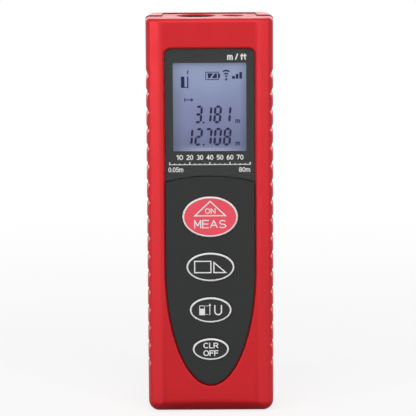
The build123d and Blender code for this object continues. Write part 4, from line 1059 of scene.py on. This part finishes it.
class METER_OT_legends(bpy.types.Operator):
    """Print the legends of the four keys."""

    bl_idname = "meter.legends"
    bl_label = "Key legends"

    def execute(self, context):
        sizes = context.scene.meter_sizes
        white = printed_ink("legend_ink", context.scene.meter_colours.ink)
        drawings = (measure_legend, area_legend, reference_legend, clear_legend)
        for name, drawing in zip(KEYS, drawings):
            low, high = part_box("key_" + name)
            middle = (low.z + high.z) / 2 / MM
            marks = drawing(low.y + sizes.key_sink - sizes.ink_proud, middle, sizes)
            ink(marks, "key_legend_" + name, white, name + "_key", sizes.ink_depth, "printed_film")
        return {"FINISHED"}


# Inside


def board_material():
    """Green solder mask over fine copper runs, with tinned holes."""
    made = Finish("solder_mask", Coat_Weight=0.3, Coat_Roughness=0.2)
    black, white = (0, 0, 0, 1), (1, 1, 1, 1)
    sockets = {
        "Vector": made.mapped((1, 0, 1)),
        "Scale": 260.0,
        "Mortar Size": 0.03,
        "Color1": black,
        "Color2": black,
        "Mortar": white,
        "Brick Width": 0.9,
        "Row Height": 0.16,
    }
    runs = made.add("ShaderNodeTexBrick", sockets).outputs["Fac"]
    broken = made.calc("MULTIPLY", runs, made.ramp(made.noise(420, 1), 0.48, 0.52))
    holes = made.ramp(made.cells(520), 0.09, 0.12, 1.0, 0.0)
    mask = made.mix(broken, (0.008, 0.12, 0.045), (0.02, 0.22, 0.08))
    made.colour(made.mix(holes, mask, (0.62, 0.6, 0.5)))
    made.link("Metallic", holes)
    made.gloss(0.25, 0.38, 700)
    made.bump(made.calc("ADD", broken, holes), 0.00002)
    return made.material


def chip_material():
    """Black package with a faint laser-frosted face."""
    made = Finish("chip_resin")
    made.colour(made.cloudy((0.02, 0.02, 0.022), 0.25, 900))
    made.gloss(0.5, 0.7, 1800)
    made.bump(made.noise(7000, 2), 0.000008)
    return made.material


class METER_OT_board(bpy.types.Operator):
    """Finish the main board, its components and the keypad under the keys."""

    bl_idname = "meter.board"
    bl_label = "Board and key contacts"

    def execute(self, context):
        board = board_material()
        finish_node("main_board", board)
        finish_node("sensor_board", board)
        finish_node("board_components", chip_material())
        dark = (0.02, 0.02, 0.02)
        buzzer = moulded("buzzer_plastic", dark, spread=0.2, patch=300, gloss=(0.3, 0.4))
        finish_node("buzzer", buzzer)
        finish_node("board_pads", metal("contact_gold", (0.9, 0.62, 0.25), (0.2, 0.3), "X", 500))
        soft = dict(spread=0.05, gloss=(0.5, 0.62), grain=1800, Subsurface_Weight=0.15)
        finish_node("keypad_mat", moulded("mat_silicone", (0.5, 0.5, 0.48), patch=80, **soft))
        dome = moulded("dome_silicone", (0.62, 0.62, 0.6), patch=160, **soft)
        for name in KEYS:
            finish_node("dome_" + name, dome)
        return {"FINISHED"}


def cell_material(name, node, nub_up):
    """Wrapped cell: coloured sleeve with a pale band near its plus end, between bare metal ends."""
    low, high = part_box(node)
    body_z = (low.z, high.z - CELL_NUB) if nub_up else (low.z + CELL_NUB, high.z)
    made = Finish(name)
    height = made.axis("Z")
    edge = 0.5 * MM
    start = made.ramp(height, body_z[0] + edge, body_z[0] + edge * 1.1)
    end = made.ramp(height, body_z[1] - edge * 1.1, body_z[1] - edge, 1.0, 0.0)
    sleeve = made.calc("MULTIPLY", start, end)
    band_z = body_z[1] - 9 * MM if nub_up else body_z[0] + 9 * MM
    off_band = made.calc("ABSOLUTE", made.calc("SUBTRACT", height, band_z))
    near_band = made.ramp(off_band, 1.2 * MM, 1.25 * MM, 1.0, 0.0)
    wrap = made.mix(near_band, made.cloudy((0.03, 0.12, 0.3), 0.06, 200), (0.75, 0.76, 0.78))
    made.colour(made.mix(sleeve, (0.72, 0.7, 0.66), wrap))
    made.link("Metallic", made.calc("SUBTRACT", 1.0, sleeve))
    made.gloss(0.22, 0.32, 500)
    made.bump(made.noise(500, 3), 0.00001)
    return made.material


class METER_OT_cells(bpy.types.Operator):
    """Wrap the two cells and finish their contacts and springs."""

    bl_idname = "meter.cells"
    bl_label = "Cells and contacts"

    def execute(self, context):
        finish_node("battery_left", cell_material("left_cell_wrap", "battery_left", True))
        finish_node("battery_right", cell_material("right_cell_wrap", "battery_right", False))
        nickel = metal("nickel_plate", (0.66, 0.64, 0.6), (0.2, 0.34), "X", 700)
        wire = metal("spring_wire", (0.62, 0.61, 0.58), (0.16, 0.28), "Z", 1500)
        finish_node("contact_plates", nickel)
        finish_node("battery_springs", wire)
        return {"FINISHED"}


def ribbon_material():
    """Amber film over copper strips."""
    made = Finish("amber_film", Coat_Weight=0.4, Coat_Roughness=0.15)
    strips = made.ramp(made.stripes(320, "X"), 0.45, 0.6)
    made.colour(made.mix(strips, (0.45, 0.19, 0.03), (0.7, 0.32, 0.1)))
    made.gloss(0.25, 0.35, 500)
    made.bump(strips, 0.00001)
    return made.material


class METER_OT_optics(bpy.types.Operator):
    """Finish the receiver, the laser and the pieces that hold them."""

    bl_idname = "meter.optics"
    bl_label = "Optics"

    def execute(self, context):
        dark = (0.015, 0.015, 0.016)
        black = moulded(
            "black_plastic", dark, spread=0.2, patch=120, gloss=(0.5, 0.62), grain=2600,
            depth=0.00001,
        )
        finish_node("optics_carrier", black)
        finish_node("lens_ring", black)
        grey = (0.03, 0.03, 0.03)
        finish_node("window_gaskets", foam_material("window_foam", grey))
        finish_node("receiver_window", body_glass("receiver_filter", (0.32, 0.012, 0.015)))
        finish_node("emitter_window", body_glass("emitter_glass", (0.5, 0.1, 0.1)))
        finish_node("receiver_lens", body_glass("receiver_lens_glass", (0.93, 0.95, 0.97)))
        finish_node("collimator_lens", body_glass("collimator_glass", (0.9, 0.95, 0.93)))
        finish_node("photodiode", body_glass("photodiode_resin", (0.08, 0.02, 0.05)))
        finish_node("laser_barrel", metal("brass", (0.8, 0.55, 0.2), (0.18, 0.3), "Z", 1200))
        finish_node("laser_diode", metal("gold_can", (0.85, 0.6, 0.28), (0.15, 0.26), "Z", 900))
        finish_node("sensor_shield", metal("tin_plate", (0.7, 0.69, 0.66), (0.25, 0.4), "X", 400))
        finish_node("signal_ribbons", ribbon_material())
        return {"FINISHED"}


# Back


def plate_border(y):
    """Ruled border and two rules on the blank plate."""
    low, high = (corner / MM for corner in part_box("rating_plate"))
    pieces = [outline(bar(low.x + 1, low.z + 1, high.x - 1, high.z - 1, y), 0.25 * MM)]
    for share in (0.3, 0.75):
        z = low.z + (high.z - low.z) * share
        pieces.append(bar(low.x + 2.5, z, high.x - 2.5, z + 0.2, y))
    return pieces


class METER_OT_back(bpy.types.Operator):
    """Finish the blank rating plate and all the screws."""

    bl_idname = "meter.back"
    bl_label = "Plate and screws"

    def execute(self, context):
        sizes = context.scene.meter_sizes
        made = Finish("plate_film", Metallic=0.7)
        made.colour(made.cloudy((0.62, 0.63, 0.65), 0.015, 250))
        made.gloss(0.36, 0.46, 500)
        made.bump(made.stripes(2600, "X", 3.0), 0.000003)
        finish_node("rating_plate", made.material)
        depth = sizes.ink_depth
        border = plate_border(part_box("rating_plate")[1].y + sizes.ink_proud - depth)
        dark = printed_ink("plate_ink", (0.03, 0.03, 0.035))
        ink(border, "rating_plate_border", dark, "housing", depth, "silver_plate")
        screw = metal("blackened_steel", (0.1, 0.1, 0.11), (0.34, 0.48), "Z", 1400)
        finish_node("case_screws", screw)
        zinc = metal("zinc_steel", (0.55, 0.55, 0.56), (0.25, 0.38), "Z", 1400)
        finish_node("board_screws", zinc)
        finish_node("carrier_screws", zinc)
        return {"FINISHED"}


# Studio


def seen_rays(tree):
    """Value that is 1 for rays from the eye, a gloss or a glass, and 0 for scattered light."""
    path = tree.nodes.new("ShaderNodeLightPath")
    first = tree.nodes.new("ShaderNodeMath")
    first.operation = "MAXIMUM"
    second = tree.nodes.new("ShaderNodeMath")
    second.operation = "MAXIMUM"
    tree.links.new(path.outputs["Is Camera Ray"], first.inputs[0])
    tree.links.new(path.outputs["Is Glossy Ray"], first.inputs[1])
    tree.links.new(first.outputs[0], second.inputs[0])
    tree.links.new(path.outputs["Is Transmission Ray"], second.inputs[1])
    return second.outputs[0]


def floor_material():
    """Pale floor that keeps the object's shadow and turns to plain white further out."""
    made = Finish("pale_floor")
    tone = made.cloudy((0.12, 0.12, 0.12), 0.02, 8)
    lit = made.add("ShaderNodeBsdfDiffuse", {"Color": tone, "Roughness": 0.4})
    glow = made.add("ShaderNodeEmission", {"Strength": 0.78})
    faint = made.add("ShaderNodeBsdfDiffuse", {"Color": (0.25, 0.25, 0.25, 1)})
    near = made.add("ShaderNodeAddShader", {0: faint.outputs[0], 1: glow.outputs[0]})
    white = made.add("ShaderNodeEmission", {"Strength": 1.0})
    reach = made.distance(made.mapped((1, 1, 0)))
    pale = made.mix_shaders(made.ramp(reach, 0.1, 0.4, smooth=True), near, white)
    # Painted shadow: a gloss on the object sees the floor dark where the object stands on it, as in
    # its contact shadow.
    contact = made.ramp(reach, 0.014, 0.032, 0.85, 0.0, True)
    glossy = made.add("ShaderNodeLightPath").outputs["Is Glossy Ray"]
    shade = made.add("ShaderNodeEmission", {"Strength": 0.03})
    shown = made.mix_shaders(made.calc("MULTIPLY", contact, glossy), pale, shade)
    floor = made.mix_shaders(seen_rays(made.tree), lit, shown)
    back = made.add("ShaderNodeNewGeometry").outputs["Backfacing"]
    made.surface(made.mix_shaders(back, floor, made.add("ShaderNodeBsdfTransparent")))
    return made.material


def softbox(name, place, aim, size, watts):
    """Rectangular lamp that faces a point."""
    lamp = bpy.data.lights.new(name, "AREA")
    lamp.shape = "RECTANGLE"
    lamp.size, lamp.size_y = size
    lamp.energy = watts
    box = bpy.data.objects.new(name, lamp)
    box.location = place
    box.rotation_euler = (Vector(aim) - Vector(place)).to_track_quat("-Z", "Y").to_euler()
    bpy.context.scene.collection.objects.link(box)


def camera(studio, middle):
    """Camera in front of the object and a little above it."""
    lens = bpy.data.cameras.new("front_camera")
    lens.sensor_width, lens.lens = 36, 197.8
    eye = bpy.data.objects.new("front_camera", lens)
    reach, up = studio.camera_distance, studio.camera_height
    eye.location = (0, -reach * math.cos(up), middle.z + reach * math.sin(up))
    # The camera looks a little left of the object's middle and above it.
    aim = Vector((-0.65 * MM, 0, middle.z + 1.1 * MM))
    roll = Quaternion((0, 0, 1), studio.camera_roll)
    facing = (aim - eye.location).to_track_quat("-Z", "Y") @ roll
    eye.rotation_euler = facing.to_euler()
    bpy.context.scene.collection.objects.link(eye)
    bpy.context.scene.camera = eye


def plain_world():
    """White surroundings for the eye and for glosses, and dimmer light for the rest."""
    world = bpy.data.worlds.new("plain_world")
    world.use_nodes = True
    tree = world.node_tree
    tree.nodes.clear()
    dim = tree.nodes.new("ShaderNodeBackground")
    dim.inputs["Strength"].default_value = 0.3
    white = tree.nodes.new("ShaderNodeBackground")
    for background in (dim, white):
        background.inputs["Color"].default_value = (1, 1, 1, 1)
    mixed = tree.nodes.new("ShaderNodeMixShader")
    tree.links.new(seen_rays(tree), mixed.inputs[0])
    tree.links.new(dim.outputs[0], mixed.inputs[1])
    tree.links.new(white.outputs[0], mixed.inputs[2])
    out = tree.nodes.new("ShaderNodeOutputWorld")
    tree.links.new(mixed.outputs[0], out.inputs["Surface"])
    bpy.context.scene.world = world


class METER_OT_studio(bpy.types.Operator):
    """Set up the floor, the softboxes, the surroundings and the camera."""

    bl_idname = "meter.studio"
    bl_label = "Studio"

    def execute(self, context):
        studio = context.scene.meter_studio
        low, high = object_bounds()
        middle = (low + high) / 2
        bpy.ops.object.select_all(action="DESELECT")
        bpy.ops.mesh.primitive_plane_add(size=12, location=(0, 0, low.z))
        floor = context.object
        floor.name = "pale_floor"
        settle(floor)
        finish(floor, floor_material())
        floor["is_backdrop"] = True
        aim = (0, 0, middle.z)
        softbox("left_softbox", (-0.65, -0.55, 0.13), aim, (0.14, 0.6), studio.left_power)
        softbox("right_softbox", (0.52, -0.67, 0.13), aim, (0.12, 0.6), studio.right_power)
        softbox("front_softbox", (0, -1.75, 1.5), aim, (2.6, 2.2), studio.front_power)
        softbox("back_softbox", (0, 1.0, 0.3), aim, (1.0, 0.5), studio.back_power)
        camera(studio, middle)
        plain_world()
        context.scene.view_settings.view_transform = "Standard"
        return {"FINISHED"}


# Add-on


class METER_PT_panel(bpy.types.Panel):
    """Sidebar panel with every step and setting."""

    bl_idname = "METER_PT_panel"
    bl_label = "Laser distance meter"
    bl_space_type = "VIEW_3D"
    bl_region_type = "UI"
    bl_category = "Meter"

    def draw(self, context):
        for operator in OPERATORS:
            self.layout.operator(operator.bl_idname)
        for group in (getattr(context.scene, name) for name in GROUPS):
            for name in group.bl_rna.properties.keys():
                if name not in ("rna_type", "name"):
                    self.layout.prop(group, name)


GROUPS = {"meter_colours": MeterColours, "meter_sizes": MeterSizes, "meter_studio": MeterStudio}
OPERATORS = (
    METER_OT_shells,
    METER_OT_panel,
    METER_OT_window,
    METER_OT_display,
    METER_OT_keys,
    METER_OT_legends,
    METER_OT_board,
    METER_OT_cells,
    METER_OT_optics,
    METER_OT_back,
    METER_OT_studio,
)


def register():
    """Add the settings, the operators and the panel."""
    for name, group in GROUPS.items():
        bpy.utils.register_class(group)
        setattr(bpy.types.Scene, name, PointerProperty(type=group))
    for operator in OPERATORS:
        bpy.utils.register_class(operator)
    bpy.utils.register_class(METER_PT_panel)


def unregister():
    """Take the panel, the operators and the settings away again."""
    bpy.utils.unregister_class(METER_PT_panel)
    for operator in reversed(OPERATORS):
        bpy.utils.unregister_class(operator)
    for name, group in GROUPS.items():
        delattr(bpy.types.Scene, name)
        bpy.utils.unregister_class(group)


def clear_start_scene():
    """Remove whatever the start file holds besides the frame."""
    kept = set(frame["nodes"].values()) | set(frame["bodies"].values())
    for thing in list(bpy.data.objects):
        if thing not in kept:
            bpy.data.objects.remove(thing)


def main():
    """Make every piece in order."""
    clear_start_scene()
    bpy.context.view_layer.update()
    register()
    for operator in OPERATORS:
        group, name = operator.bl_idname.split(".")
        getattr(getattr(bpy.ops, group), name)()


if __name__ == "__main__":
    main()
